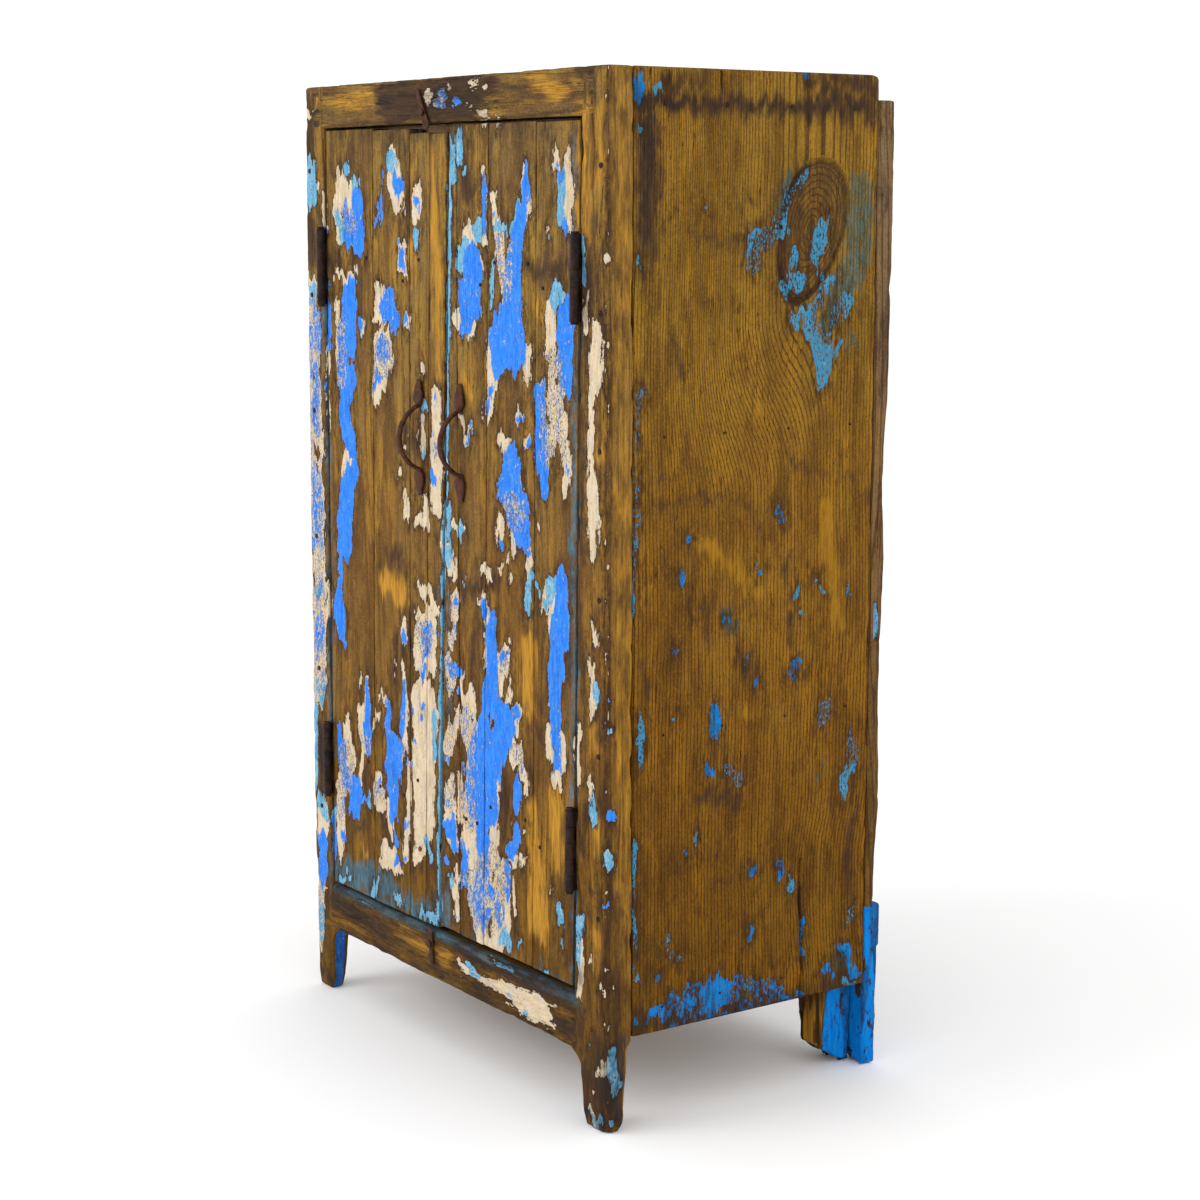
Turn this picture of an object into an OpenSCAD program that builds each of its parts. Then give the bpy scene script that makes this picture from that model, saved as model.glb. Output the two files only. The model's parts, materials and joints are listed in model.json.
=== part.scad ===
// Small two-door plank armoire: a pegged front frame nailed to single-board sides,
// a boarded back on rear posts, two ledged plank doors on butt hinges, bow handles
// and two turn buttons. Millimetres, +Z up, front towards -Y.

/* [Case] */
// Width over the front posts
case_w = 614; // [590:1:640]
// Height from the floor to the top of the posts
case_h = 1100; // [1090:1:1110]
// From the front face to the rear edge of the side boards
side_depth = 356; // [340:1:380]
// Thickness of the side boards
side_t = 20; // [18:0.5:21]
// Thickness of the back boards
back_t = 22; // [18:0.5:24]
// Height of the lower edge of the side boards
side_low = 98; // [94:1:102]
// Thickness of the top, bottom and shelf boards
board_t = 19; // [18:0.5:20]

/* [Front frame] */
// Depth of the front posts, front to back
post_d = 32; // [30:0.5:34]
// How far the left post bows out above its foot
post_bow = 10; // [6:1:12]
// Top edge of the bottom rail
sill = 138; // [136:1:140]
// Lower edge of the top rail
head = 1052; // [1050:1:1054]
// Lower edge of the bottom rail
rail_low = 79; // [76:1:82]
// Thickness of the tenons
tenon_t = 10; // [8:0.5:12]
// Length of the tenons
tenon_l = 26; // [22:1:28]
// Radius of the draw pegs
peg_r = 4; // [3:0.25:4.5]

/* [Doors] */
// Thickness of the door planks
plank_t = 22; // [20:0.5:22.5]
// Setback of the door faces behind the posts
door_setback = 1; // [1:0.25:1.5]
// Gap between the left post and its door
left_gap = 5; // [4.5:0.1:5.5]
// Gap between the right post and its door
right_gap = 4.2; // [4:0.1:4.5]
// Gap between the two doors
seam_gap = 5; // [4:0.5:6]
// Gap between neighbouring planks
plank_gap = 1; // [0.6:0.1:1.4]
// Height of the ledges on the back of the doors
ledge_h = 60; // [50:1:70]
// Thickness of the ledges
ledge_t = 20; // [16:0.5:22]

/* [Ironwork] */
// Length of the hinge barrels
hinge_h = 88; // [84:1:92]
// Radius of the hinge barrels
barrel_r = 5; // [4.6:0.1:5]
// Radius of the hinge pins
pin_r = 2.2; // [1.8:0.1:2.4]
// Thickness of the hinge leaves
leaf_t = 1.5; // [1.2:0.1:1.6]
// Radius of the handle bars
bar_r = 3; // [2.75:0.25:3.25]
// Distance between the two ends of a handle's bow
bow_span = 72; // [68:1:76]
// Reach of the handles in front of the frame
handle_reach = 30; // [28:0.5:32]
// Radius of the pivot nails of the turn buttons
pivot_r = 2; // [1.6:0.1:2.4]

/* [Hidden] */
$fn = 48;

// The origin is at the middle of the object's box, on the floor.
half_w = case_w / 2;
rear_y = side_depth + back_t;
middle = [-post_bow / 2, (rear_y - handle_reach) / 2, 0];
eps = 0.05;

// Lines that lean are pairs: x at the sill and x at the head of the door opening.
left_edge = [-half_w + 33, -half_w + 43.5];
right_edge = [half_w - 61, half_w - 45];
seam = [-25, 11];
left_breaks = [[-171, -151], [-90, -70], [-56, -27]];
right_breaks = [[20, 26], [67, 91], [165, 180]];
left_plank_low = [142, 141.5, 142, 142.5];
left_plank_high = [1049, 1047, 1042, 1041];
right_plank_low = [147, 146, 147, 146.5];
right_plank_high = [1048, 1049, 1049, 1048];

side_x = half_w - 1;
side_in = side_x - side_t;
side_front = post_d + 1;
// The bottom rail's lower edge is this much higher at its left end.
rail_rise = 2;
dado = 8;
top_board_z = 1055;
bottom_board_z = sill - board_t - 1;
shelf_front = 52;
lower_shelf_z = 412;
upper_shelf_z = 722;
batten_h = 25;
batten_t = 20;
rear_post_w = 45;
rear_post_d = 44;
rear_post_in = side_in - rear_post_w;
rear_post_front = side_depth - rear_post_d;
foot_w = 75;
foot_h = 183;
back_low = 100;
back_splits = [-158, -6, 150];

hinge_z = [892, 297];
hinge_axis_y = -5.3;
leaf_d = 20;
leaf_front = 0.7;
knuckles = 5;
knuckle_gap = 0.4;
screw_r = 1.6;
screw_head_r = 3.2;
screw_l = 17;
screw_rows = [-30, 0, 30];

handle_z = 707;
handle_x = [-53, 32.5];
pad_t = 3;
pad_w = 20;
// Each pad starts under the end of the bow and runs out to its tip.
pad_start = bow_span / 2 - 3;
pad_l = 32;
pad_nail = bow_span / 2 + 19;

ledge_z = [892, 297];
ledge_clear = 30;
nail_r = 1.5;
nail_head_r = 3.6;
nail_head_t = 1;

// Turn buttons: pivot, tilt, length and end radius of the short arm, then of the long arm
top_button = [[-35, 1064], 26, 21, 7, 29, 4];
bottom_button = [[-39, 122], 185, 18.5, 5, 24, 4.5];
button_t = 3;
button_clear = 1;
button_hole_l = 20;

wood = "peru";
door_wood = "royalblue";
iron = "#3a2c28";

// x on a leaning line at height z
function on(line, z) = line[0] + (line[1] - line[0]) * (z - sill) / (head - sill);
function shift(line, d) = [line[0] + d, line[1] + d];
function lean(line) = atan((line[1] - line[0]) / (head - sill));

left_lines = concat(
    [shift(left_edge, left_gap - plank_gap / 2)], left_breaks,
    [shift(seam, -seam_gap / 2 + plank_gap / 2)]);
right_lines = concat(
    [shift(seam, seam_gap / 2 - plank_gap / 2)], right_breaks,
    [shift(right_edge, -right_gap + plank_gap / 2)]);

module place() {
    translate(-middle) children();
}

// An outline in X and Z, as deep as y0 to y1
module upright(y0, y1) {
    translate([0, y1, 0]) rotate([90, 0, 0]) linear_extrude(y1 - y0) children();
}

// An outline in Y and Z, from x0 to x1
module sideways(x0, x1) {
    translate([x0, 0, 0]) rotate([90, 0, 90]) linear_extrude(x1 - x0) children();
}

module block(x0, x1, y0, y1, z0, z1) {
    translate([x0, y0, z0]) cube([x1 - x0, y1 - y0, z1 - z0]);
}

// A rod along Y from y0 to y1
module rod_y(x, z, y0, y1, r) {
    translate([x, y0, z]) rotate([-90, 0, 0]) cylinder(h = y1 - y0, r = r);
}

// A rod along X from x0 to x1
module rod_x(y, z, x0, x1, r) {
    translate([x0, y, z]) rotate([0, 90, 0]) cylinder(h = x1 - x0, r = r);
}

// A board between two leaning lines
module leaning_slab(a, b, z0, z1, y0, y1) {
    upright(y0, y1)
        polygon([[on(a, z0), z0], [on(b, z0), z0], [on(b, z1), z1], [on(a, z1), z1]]);
}

// ---- Front frame ----

tenon_y = post_d / 2 - tenon_t / 2;
top_tenon = [head + 8, case_h - 10];
bottom_tenon = [rail_low + 10, sill - 10];

module tenons(rail_z, side, clear) {
    edge = side < 0 ? left_edge : right_edge;
    inner = on(edge, (rail_z[0] + rail_z[1]) / 2);
    x0 = side < 0 ? inner - tenon_l - clear : inner - 2;
    x1 = side < 0 ? inner + 2 : inner + tenon_l + clear;
    block(x0, x1, tenon_y - clear, tenon_y + tenon_t + clear,
        rail_z[0] - clear, rail_z[1] + clear);
}

function peg_x(side) = side < 0 ? -half_w + 17 : half_w - 30;
peg_rows = [(top_tenon[0] + top_tenon[1]) / 2, (bottom_tenon[0] + bottom_tenon[1]) / 2];

module pegs(r, y1) {
    for (side = [-1, 1], z = peg_rows) rod_y(peg_x(side), z, 0, y1, r);
}

// Each post ends in a leg that tapers on the inside and at the back. The right post
// is straight outside; the left one bows out and comes back in at the foot.
foot_inner = [-half_w + 26, half_w - 42];
knee_inner = [left_edge[0] - 2, right_edge[0] + 8];
left_outer = [[-half_w - 6, 0], [-half_w - post_bow, 240], [-half_w, case_h]];
right_outer = [[half_w - 2, 0], [half_w, 14], [half_w, case_h]];
leg_d = 20;
ankle_d = 27;

module post_outline(side) {
    edge = side < 0 ? left_edge : right_edge;
    outer = side < 0 ? left_outer : right_outer;
    i = side < 0 ? 0 : 1;
    polygon([outer[0], [foot_inner[i], 0], [knee_inner[i], rail_low - 12],
        [on(edge, rail_low), rail_low], [on(edge, case_h), case_h], outer[2], outer[1]]);
}

module post(side) {
    color(wood) difference() {
        intersection() {
            upright(0, post_d) post_outline(side);
            sideways(-2 * half_w, 2 * half_w)
                polygon([[0, 0], [leg_d, 0], [ankle_d, side_low - 6], [post_d, side_low],
                    [post_d, case_h], [0, case_h]]);
        }
        tenons(top_tenon, side, 0.2);
        tenons(bottom_tenon, side, 0.2);
        pegs(peg_r + eps, post_d);
        front_nails(nail_r + eps);
        for (z = hinge_z) screws(side, z, true, eps);
    }
}

module top_rail() {
    color(wood) difference() {
        union() {
            leaning_slab(left_edge, right_edge, head, case_h, 0, post_d);
            for (side = [-1, 1]) tenons(top_tenon, side, 0);
        }
        pegs(peg_r + eps, post_d);
        button_hole(top_button);
    }
}

module bottom_rail() {
    color(wood) difference() {
        union() {
            upright(0, post_d)
                polygon([[on(left_edge, rail_low + rail_rise), rail_low + rail_rise],
                    [on(right_edge, rail_low), rail_low],
                    [on(right_edge, sill), sill], [on(left_edge, sill), sill]]);
            for (side = [-1, 1]) tenons(bottom_tenon, side, 0);
        }
        pegs(peg_r + eps, post_d);
        button_hole(bottom_button);
    }
}

// The strips that the doors close against
module door_stop(z0, z1) {
    color(wood)
        block(on(left_edge, z0) + 6, on(right_edge, z0) - 6,
            door_setback + plank_t + 1.5, post_d, z0, z1);
}

module frame_pegs() {
    color(wood) pegs(peg_r, post_d - 0.5);
}

// ---- Case ----

module side_board(side) {
    color(wood) difference() {
        mirror([side < 0 ? 1 : 0, 0, 0]) difference() {
            sideways(side_in, side_x)
                polygon([[side_front, side_low + 4], [side_depth, side_low],
                    [side_depth, case_h - 6], [side_depth - 1.5, case_h - 2],
                    [side_depth - 6, case_h], [side_front, case_h]]);
            for (z = [top_board_z, bottom_board_z])
                block(side_in - 1, side_in + dado + 0.2, side_front - 1, side_depth + 1,
                    z - 0.1, z + board_t + 0.1);
        }
        front_nails(nail_r + eps);
        side_nails(nail_r + eps);
    }
}

// A board that lies between the sides, let into them by the depth of the dado
module level_board(z, reach, y0, notched) {
    color(wood) difference() {
        block(-side_in - reach, side_in + reach, y0, side_depth, z, z + board_t);
        if (notched)
            for (side = [-1, 1])
                translate([side * (rear_post_in + 50), rear_post_front - 0.5, z - 1])
                    translate([-50.5, 0, 0]) cube([101, 60, board_t + 2]);
        side_nails(nail_r + eps);
        back_nails(nail_r + eps);
    }
}

module shelf(z) {
    level_board(z, -0.5, shelf_front, true);
}

module shelf_battens(z) {
    color(wood) for (side = [-1, 1])
        mirror([side < 0 ? 1 : 0, 0, 0])
            block(side_in - batten_t, side_in, shelf_front, rear_post_front - 1,
                z - batten_h, z);
}

module rear_post(side) {
    color(wood) difference() {
        mirror([side < 0 ? 1 : 0, 0, 0])
            block(rear_post_in, side_in, rear_post_front, side_depth, 0, top_board_z);
        back_nails(nail_r + eps);
    }
}

module rear_foot(side) {
    color(door_wood) difference() {
        mirror([side < 0 ? 1 : 0, 0, 0])
            upright(side_depth, rear_y)
                polygon([[half_w - foot_w, 0], [half_w, 0], [half_w, foot_h - 4],
                    [half_w - 5, foot_h], [half_w - foot_w, foot_h - 8]]);
        back_nails(nail_r + eps);
    }
}

back_edges = concat([-half_w], back_splits, [half_w]);
back_high = [1072, 1074, 1073, 1074];

module back_board(i) {
    x0 = back_edges[i] + (i == 0 ? 0 : plank_gap / 2);
    x1 = back_edges[i + 1] - (i == 3 ? 0 : plank_gap / 2);
    foot_x = half_w - foot_w - 1;
    color(wood) difference() {
        block(x0, x1, side_depth, rear_y, back_low, back_high[i]);
        if (i == 0)
            block(-half_w - 1, -foot_x, side_depth - 1, rear_y + 1, back_low - 1, foot_h + 4);
        if (i == 3)
            block(foot_x, half_w + 1, side_depth - 1, rear_y + 1, back_low - 1, foot_h + 4);
        back_nails(nail_r + eps);
    }
}

// ---- Nails of the case ----

front_nail_z = [1003, 858, 720, 568, 405, 232];
left_nail_line = [-half_w + 11, -half_w + 11];
right_nail_line = [half_w - 18, half_w - 11.5];
board_rows = [for (z = [top_board_z, bottom_board_z, lower_shelf_z, upper_shelf_z])
    z + board_t / 2];
side_nail_y = [72, 150, 236, 322];
back_nail_x = [-200, -185 + 75, -52, 40, 106, 196];
foot_nail_z = [62, 150];

module front_nails(r, y0 = -0.01, y1 = 62) {
    for (z = front_nail_z, line = [left_nail_line, right_nail_line])
        rod_y(on(line, z), z, y0, y1, r);
}

// Nails through the side boards stop short of the rear posts' rows.
module side_nails(r) {
    for (side = [-1, 1], z = board_rows, y = side_nail_y)
        mirror([side < 0 ? 1 : 0, 0, 0])
            rod_x(y, z, side_x - (y > rear_post_front ? side_t : 40), side_x + 0.01, r);
}

module back_nails(r, l = 40) {
    for (z = board_rows, x = back_nail_x) rod_y(x, z, rear_y - l, rear_y + 0.01, r);
    for (side = [-1, 1], z = foot_nail_z)
        rod_y(side * (side_in - rear_post_w / 2), z, rear_y - l, rear_y + 0.01, r);
}

module case_nails() {
    color(iron) {
        front_nails(nail_r, 0, 60);
        side_nails(nail_r);
        back_nails(nail_r, 38);
        front_nails(nail_head_r, -nail_head_t, 0);
        for (side = [-1, 1], z = board_rows, y = side_nail_y)
            mirror([side < 0 ? 1 : 0, 0, 0])
                rod_x(y, z, side_x, side_x + nail_head_t, nail_head_r);
    }
}

// ---- Hinges ----

// Everything of a hinge is drawn about its own axis, which leans with the post.
module at_hinge(side, z) {
    edge = side < 0 ? left_edge : right_edge;
    gap = side < 0 ? left_gap : right_gap;
    translate([on(edge, z) - side * gap / 2, hinge_axis_y, z]) rotate([0, lean(edge), 0])
        mirror([side < 0 ? 1 : 0, 0, 0]) children();
}

// Drawn for the right-hand side: the post is towards +X, the door towards -X.
module leaf(side, on_post) {
    gap = side < 0 ? left_gap : right_gap;
    pitch = hinge_h / knuckles;
    outer = gap / 2 - eps / 2;
    x0 = on_post ? outer - leaf_t : -outer;
    plate_y = leaf_front - hinge_axis_y;
    color(iron) difference() {
        union() {
            block(x0, x0 + leaf_t, plate_y, plate_y + leaf_d, -hinge_h / 2, hinge_h / 2);
            for (k = [on_post ? 0 : 1 : 2 : knuckles - 1])
                translate([0, 0, -hinge_h / 2 + k * pitch + knuckle_gap / 2]) {
                    cylinder(h = pitch - knuckle_gap, r = barrel_r);
                    translate([x0, 0, 0])
                        cube([leaf_t, plate_y + 1, pitch - knuckle_gap]);
                }
        }
        translate([0, 0, -hinge_h]) cylinder(h = 2 * hinge_h, r = pin_r + eps);
        leaf_screws(side, on_post, eps);
    }
}

// Screws of one leaf: shank into the wood, head sunk in the leaf
module leaf_screws(side, on_post, clear) {
    gap = side < 0 ? left_gap : right_gap;
    y = leaf_front - hinge_axis_y + leaf_d / 2;
    face = gap / 2 - leaf_t;
    for (z = screw_rows) mirror([on_post ? 0 : 1, 0, 0]) {
        rod_x(y, z, face, face + screw_l + clear, screw_r + clear);
        rod_x(y, z, face - clear, face + leaf_t / 2 + clear, screw_head_r + clear);
    }
}

module screws(side, z, on_post, clear) {
    at_hinge(side, z) leaf_screws(side, on_post, clear);
}

module hinge_pin(side, z) {
    color(iron) at_hinge(side, z) {
        translate([0, 0, -hinge_h / 2 - 1]) cylinder(h = hinge_h + 2, r = pin_r);
        translate([0, 0, hinge_h / 2 + 0.1]) cylinder(h = 2.4, r = barrel_r - 0.8);
        translate([0, 0, -hinge_h / 2 - 2.5]) cylinder(h = 2.4, r = barrel_r - 1.2);
    }
}

module hinge_screws(side, on_post) {
    color(iron) for (z = hinge_z) screws(side, z, on_post, 0);
}

// ---- Doors ----

door_y = door_setback;
ledge_y = door_setback + plank_t;

function door_lines(side) = side < 0 ? left_lines : right_lines;
function plank_low(side) = side < 0 ? left_plank_low : right_plank_low;
function plank_high(side) = side < 0 ? left_plank_high : right_plank_high;
function plank_mid(side, i, z) = (on(door_lines(side)[i], z) + on(door_lines(side)[i + 1], z)) / 2;
function plank_width(side, i, z) = on(door_lines(side)[i + 1], z) - on(door_lines(side)[i], z);

// Wide planks have two nails to each ledge, narrow ones have one.
function plank_nail_x(side, i, z) =
    plank_width(side, i, z) > 50
        ? [for (s = [-1, 1]) plank_mid(side, i, z) + s * (plank_width(side, i, z) / 2 - 14)]
        : [plank_mid(side, i, z)];

module plank_nails(side, r, l, y0 = 0) {
    for (i = [0 : 3], z = ledge_z, x = plank_nail_x(side, i, z))
        if (on(door_lines(side)[0], z) + ledge_clear + 4 < x
            && x < on(door_lines(side)[4], z) - ledge_clear - 4)
            rod_y(x, z + (i % 2 == 0 ? 12 : -12), door_y + y0, door_y + y0 + l, r);
}

// Two nails to each pad of the handle, near its tip
module handle_nails(side, r, y0, y1) {
    x = side < 0 ? handle_x[0] : handle_x[1];
    for (s = [-1, 1]) rod_y(x, handle_z + s * pad_nail, y0, y1, r);
}

module door_plank(side, i) {
    lines = door_lines(side);
    color(door_wood) difference() {
        leaning_slab(shift(lines[i], plank_gap / 2), shift(lines[i + 1], -plank_gap / 2),
            plank_low(side)[i], plank_high(side)[i], door_y, ledge_y);
        plank_nails(side, nail_r + eps, 60, -1);
        handle_nails(side, nail_r + eps, door_y - 1, door_y + 18 + eps);
        for (z = hinge_z) screws(side, z, false, eps);
    }
}

module door_ledge(side, z) {
    lines = door_lines(side);
    color(wood) difference() {
        leaning_slab(shift(lines[0], ledge_clear), shift(lines[4], -ledge_clear),
            z - ledge_h / 2, z + ledge_h / 2, ledge_y, ledge_y + ledge_t);
        plank_nails(side, nail_r + eps, plank_t + 14 + eps);
    }
}

module door_nails(side) {
    color(iron) {
        plank_nails(side, nail_r, plank_t + 14);
        plank_nails(side, nail_head_r, nail_head_t, -nail_head_t);
        handle_nails(side, nail_r, door_y - pad_t, door_y + 18);
        handle_nails(side, nail_head_r, door_y - pad_t - nail_head_t, door_y - pad_t);
    }
}

// ---- Handles ----

// A round bar bowed between two leaf-shaped pads
// A leaf: narrow under the bow, widest a third of the way along, narrow at the tip
module pad_outline() {
    half = [[3.5, 0], [4.5, pad_l * 0.2], [pad_w / 2, pad_l * 0.45], [pad_w / 2.6, pad_l * 0.7],
        [2.5, pad_l]];
    polygon(concat(half, [for (i = [len(half) - 1 : -1 : 0]) [-half[i][0], half[i][1]]]));
}

module handle(side) {
    x = side < 0 ? handle_x[0] : handle_x[1];
    sagitta = handle_reach - bar_r + door_y - pad_t / 2;
    bow_r = (bow_span * bow_span / 4 + sagitta * sagitta) / (2 * sagitta);
    half_angle = asin(bow_span / 2 / bow_r);
    color(iron) difference() {
        union() {
            translate([x, door_y - pad_t / 2 - sagitta + bow_r, handle_z])
                rotate([0, 90, 0]) rotate([0, 0, -90 - half_angle])
                    rotate_extrude(angle = 2 * half_angle)
                        translate([bow_r, 0]) circle(r = bar_r);
            translate([x, door_y, handle_z]) rotate([90, 0, 0]) linear_extrude(pad_t)
                for (s = [-1, 1]) scale([1, s]) translate([0, pad_start]) pad_outline();
        }
        handle_nails(side, nail_r + eps, door_y - 10, door_y + 10);
        translate([x - 20, door_y, handle_z - 80]) cube([40, 10, 160]);
    }
}

// ---- Turn buttons ----

// Both are drawn with the short arm down and the long arm up, before the tilt.
module turn_button(b) {
    short = b[2];
    short_r = b[3];
    long = b[4];
    long_r = b[5];
    color(iron) translate([b[0][0], -button_clear, b[0][1]]) rotate([90, 0, 0])
        rotate([0, 0, b[1]]) linear_extrude(button_t) difference() {
            union() {
                translate([0, -short + short_r]) circle(r = short_r);
                translate([0, long - long_r]) circle(r = long_r);
                circle(r = 5.5);
                polygon([[-3.5, -short + short_r], [3.5, -short + short_r], [5, 0],
                    [long_r - 0.5, long - long_r], [-long_r + 0.5, long - long_r], [-5, 0]]);
            }
            circle(r = pivot_r + eps);
        }
}

module button_nail(b) {
    head_y = -button_clear - button_t - 0.2;
    color(iron) {
        rod_y(b[0][0], b[0][1], head_y, button_hole_l - 2, pivot_r);
        rod_y(b[0][0], b[0][1], head_y - 1.8, head_y, 4.2);
    }
}

module button_hole(b) {
    rod_y(b[0][0], b[0][1], -0.01, button_hole_l, pivot_r + eps);
}

// ---- Nodes ----

module hinge_leaf(side, z, on_post) {
    at_hinge(side, z) leaf(side, on_post);
}

place() post(-1);  // left_post
place() post(1);  // right_post
place() top_rail();
place() bottom_rail();
place() door_stop(head - 16, head);  // top_stop
place() door_stop(sill, sill + 14);  // bottom_stop
place() side_board(-1);  // left_side_board
place() side_board(1);  // right_side_board
place() level_board(top_board_z, dado, side_front, false);  // top_board
place() level_board(bottom_board_z, dado, side_front, true);  // bottom_board
place() shelf(lower_shelf_z);  // lower_shelf
place() shelf(upper_shelf_z);  // upper_shelf
place() shelf_battens(lower_shelf_z);  // lower_shelf_battens
place() shelf_battens(upper_shelf_z);  // upper_shelf_battens
place() rear_post(-1);  // left_rear_post
place() rear_post(1);  // right_rear_post
place() rear_foot(-1);  // left_rear_foot
place() rear_foot(1);  // right_rear_foot
place() back_board(0);  // back_board_1
place() back_board(1);  // back_board_2
place() back_board(2);  // back_board_3
place() back_board(3);  // back_board_4
place() frame_pegs();
place() case_nails();
place() hinge_leaf(-1, hinge_z[0], true);  // left_upper_post_leaf
place() hinge_leaf(-1, hinge_z[1], true);  // left_lower_post_leaf
place() hinge_leaf(1, hinge_z[0], true);  // right_upper_post_leaf
place() hinge_leaf(1, hinge_z[1], true);  // right_lower_post_leaf
place() hinge_pin(-1, hinge_z[0]);  // left_upper_hinge_pin
place() hinge_pin(-1, hinge_z[1]);  // left_lower_hinge_pin
place() hinge_pin(1, hinge_z[0]);  // right_upper_hinge_pin
place() hinge_pin(1, hinge_z[1]);  // right_lower_hinge_pin
place() {  // post_hinge_screws
    hinge_screws(-1, true);
    hinge_screws(1, true);
}
place() button_nail(top_button);  // top_button_nail
place() button_nail(bottom_button);  // bottom_button_nail
place() turn_button(top_button);  // top_turn_button
place() turn_button(bottom_button);  // bottom_turn_button
place() door_plank(-1, 0);  // left_door_plank_1
place() door_plank(-1, 1);  // left_door_plank_2
place() door_plank(-1, 2);  // left_door_plank_3
place() door_plank(-1, 3);  // left_door_plank_4
place() door_ledge(-1, ledge_z[0]);  // left_door_upper_ledge
place() door_ledge(-1, ledge_z[1]);  // left_door_lower_ledge
place() hinge_leaf(-1, hinge_z[0], false);  // left_upper_door_leaf
place() hinge_leaf(-1, hinge_z[1], false);  // left_lower_door_leaf
place() handle(-1);  // left_handle
place() door_nails(-1);  // left_door_nails
place() hinge_screws(-1, false);  // left_door_hinge_screws
place() door_plank(1, 0);  // right_door_plank_1
place() door_plank(1, 1);  // right_door_plank_2
place() door_plank(1, 2);  // right_door_plank_3
place() door_plank(1, 3);  // right_door_plank_4
place() door_ledge(1, ledge_z[0]);  // right_door_upper_ledge
place() door_ledge(1, ledge_z[1]);  // right_door_lower_ledge
place() hinge_leaf(1, hinge_z[0], false);  // right_upper_door_leaf
place() hinge_leaf(1, hinge_z[1], false);  // right_lower_door_leaf
place() handle(1);  // right_handle
place() door_nails(1);  // right_door_nails
place() hinge_screws(1, false);  // right_door_hinge_screws
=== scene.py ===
# Looks of the small blue-painted plank armoire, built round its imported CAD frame.
# Lengths in this script are millimetres in the CAD's frame, and become metres in build().
import json
import math
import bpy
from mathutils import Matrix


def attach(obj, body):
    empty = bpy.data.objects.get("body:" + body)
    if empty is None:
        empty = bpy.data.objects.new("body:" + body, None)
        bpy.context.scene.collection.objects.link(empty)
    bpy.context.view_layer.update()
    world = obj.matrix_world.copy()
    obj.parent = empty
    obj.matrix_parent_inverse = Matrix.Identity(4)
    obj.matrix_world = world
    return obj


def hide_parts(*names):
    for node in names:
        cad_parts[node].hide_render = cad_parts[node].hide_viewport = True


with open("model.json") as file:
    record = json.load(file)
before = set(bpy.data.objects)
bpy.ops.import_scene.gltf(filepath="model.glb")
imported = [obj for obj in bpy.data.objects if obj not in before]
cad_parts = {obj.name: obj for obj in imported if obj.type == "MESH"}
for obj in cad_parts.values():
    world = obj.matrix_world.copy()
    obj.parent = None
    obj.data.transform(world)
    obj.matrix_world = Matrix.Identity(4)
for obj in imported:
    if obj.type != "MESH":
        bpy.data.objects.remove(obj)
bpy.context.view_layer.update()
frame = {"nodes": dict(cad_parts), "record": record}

import zlib

import bpy
import numpy as np
from mathutils import Euler

MM = 0.001
X, Y, Z = 0, 1, 2
SLOT = {row["node"]: row["material_slot"] for row in frame["record"]["subparts"]}

# The sides of a board are its four arrises, named by (across, depth), and then its four faces.
# Depth is the direction that is neither along the board nor across it.
LOW_LOW, HIGH_LOW, HIGH_HIGH, LOW_HIGH = range(4)
LOW_DEPTH, HIGH_ACROSS, HIGH_DEPTH, LOW_ACROSS = range(4, 8)
ALL_SIDES = range(8)
FRONT_SIDES = (LOW_DEPTH, LOW_LOW, HIGH_LOW)

NOWHERE = -30.0       # the depth in a coat of paint where no stroke of it is near
STROKE_REACH = 45     # how far round a stroke its depth is worked out
PLANKS = range(1, 5)  # the numbers of a door's planks, and of the back boards


# ---------------------------------------------------------------- noise and fields

def hashed(ix, iy, iz, seed):
    """A repeatable number from 0 to 1 for each whole-numbered point."""
    h = (ix * 374761393 + iy * 668265263 + iz * 2147483647 + seed * 974634777) & 0xFFFFFFFF
    h = ((h ^ (h >> 13)) * 1274126177) & 0xFFFFFFFF
    return ((h ^ (h >> 16)) & 0xFFFFFF) / float(0xFFFFFF)


def noise(p, size, seed=0, octaves=3):
    """Smooth noise from about -1 to 1 at points p. size is the length of its lumps along X, Y, Z."""
    q = p / np.array(size, float)
    total, weight, norm = np.zeros(len(q)), 1.0, 0.0
    for octave in range(octaves):
        cell = np.floor(q).astype(np.int64)
        f = q - cell
        f = f * f * (3 - 2 * f)
        value = np.zeros(len(q))
        for dx in (0, 1):
            for dy in (0, 1):
                for dz in (0, 1):
                    w = (np.abs(1 - dx - f[:, 0]) * np.abs(1 - dy - f[:, 1])
                         * np.abs(1 - dz - f[:, 2]))
                    value += w * hashed(cell[:, 0] + dx, cell[:, 1] + dy, cell[:, 2] + dz,
                                        seed + 17 * octave)
        total += weight * (2 * value - 1)
        norm += weight
        weight *= 0.5
        q = q * 2.03 + 11.7
    return total / norm * 1.6


def smooth(x, low, high):
    """0 at low and 1 at high, with a soft start and end."""
    t = np.clip((x - low) / (high - low), 0, 1)
    return t * t * (3 - 2 * t)


def seed_of(name):
    """A number for the noises of a piece that is always the same for its name."""
    return zlib.crc32(name.encode()) % 9973


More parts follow.
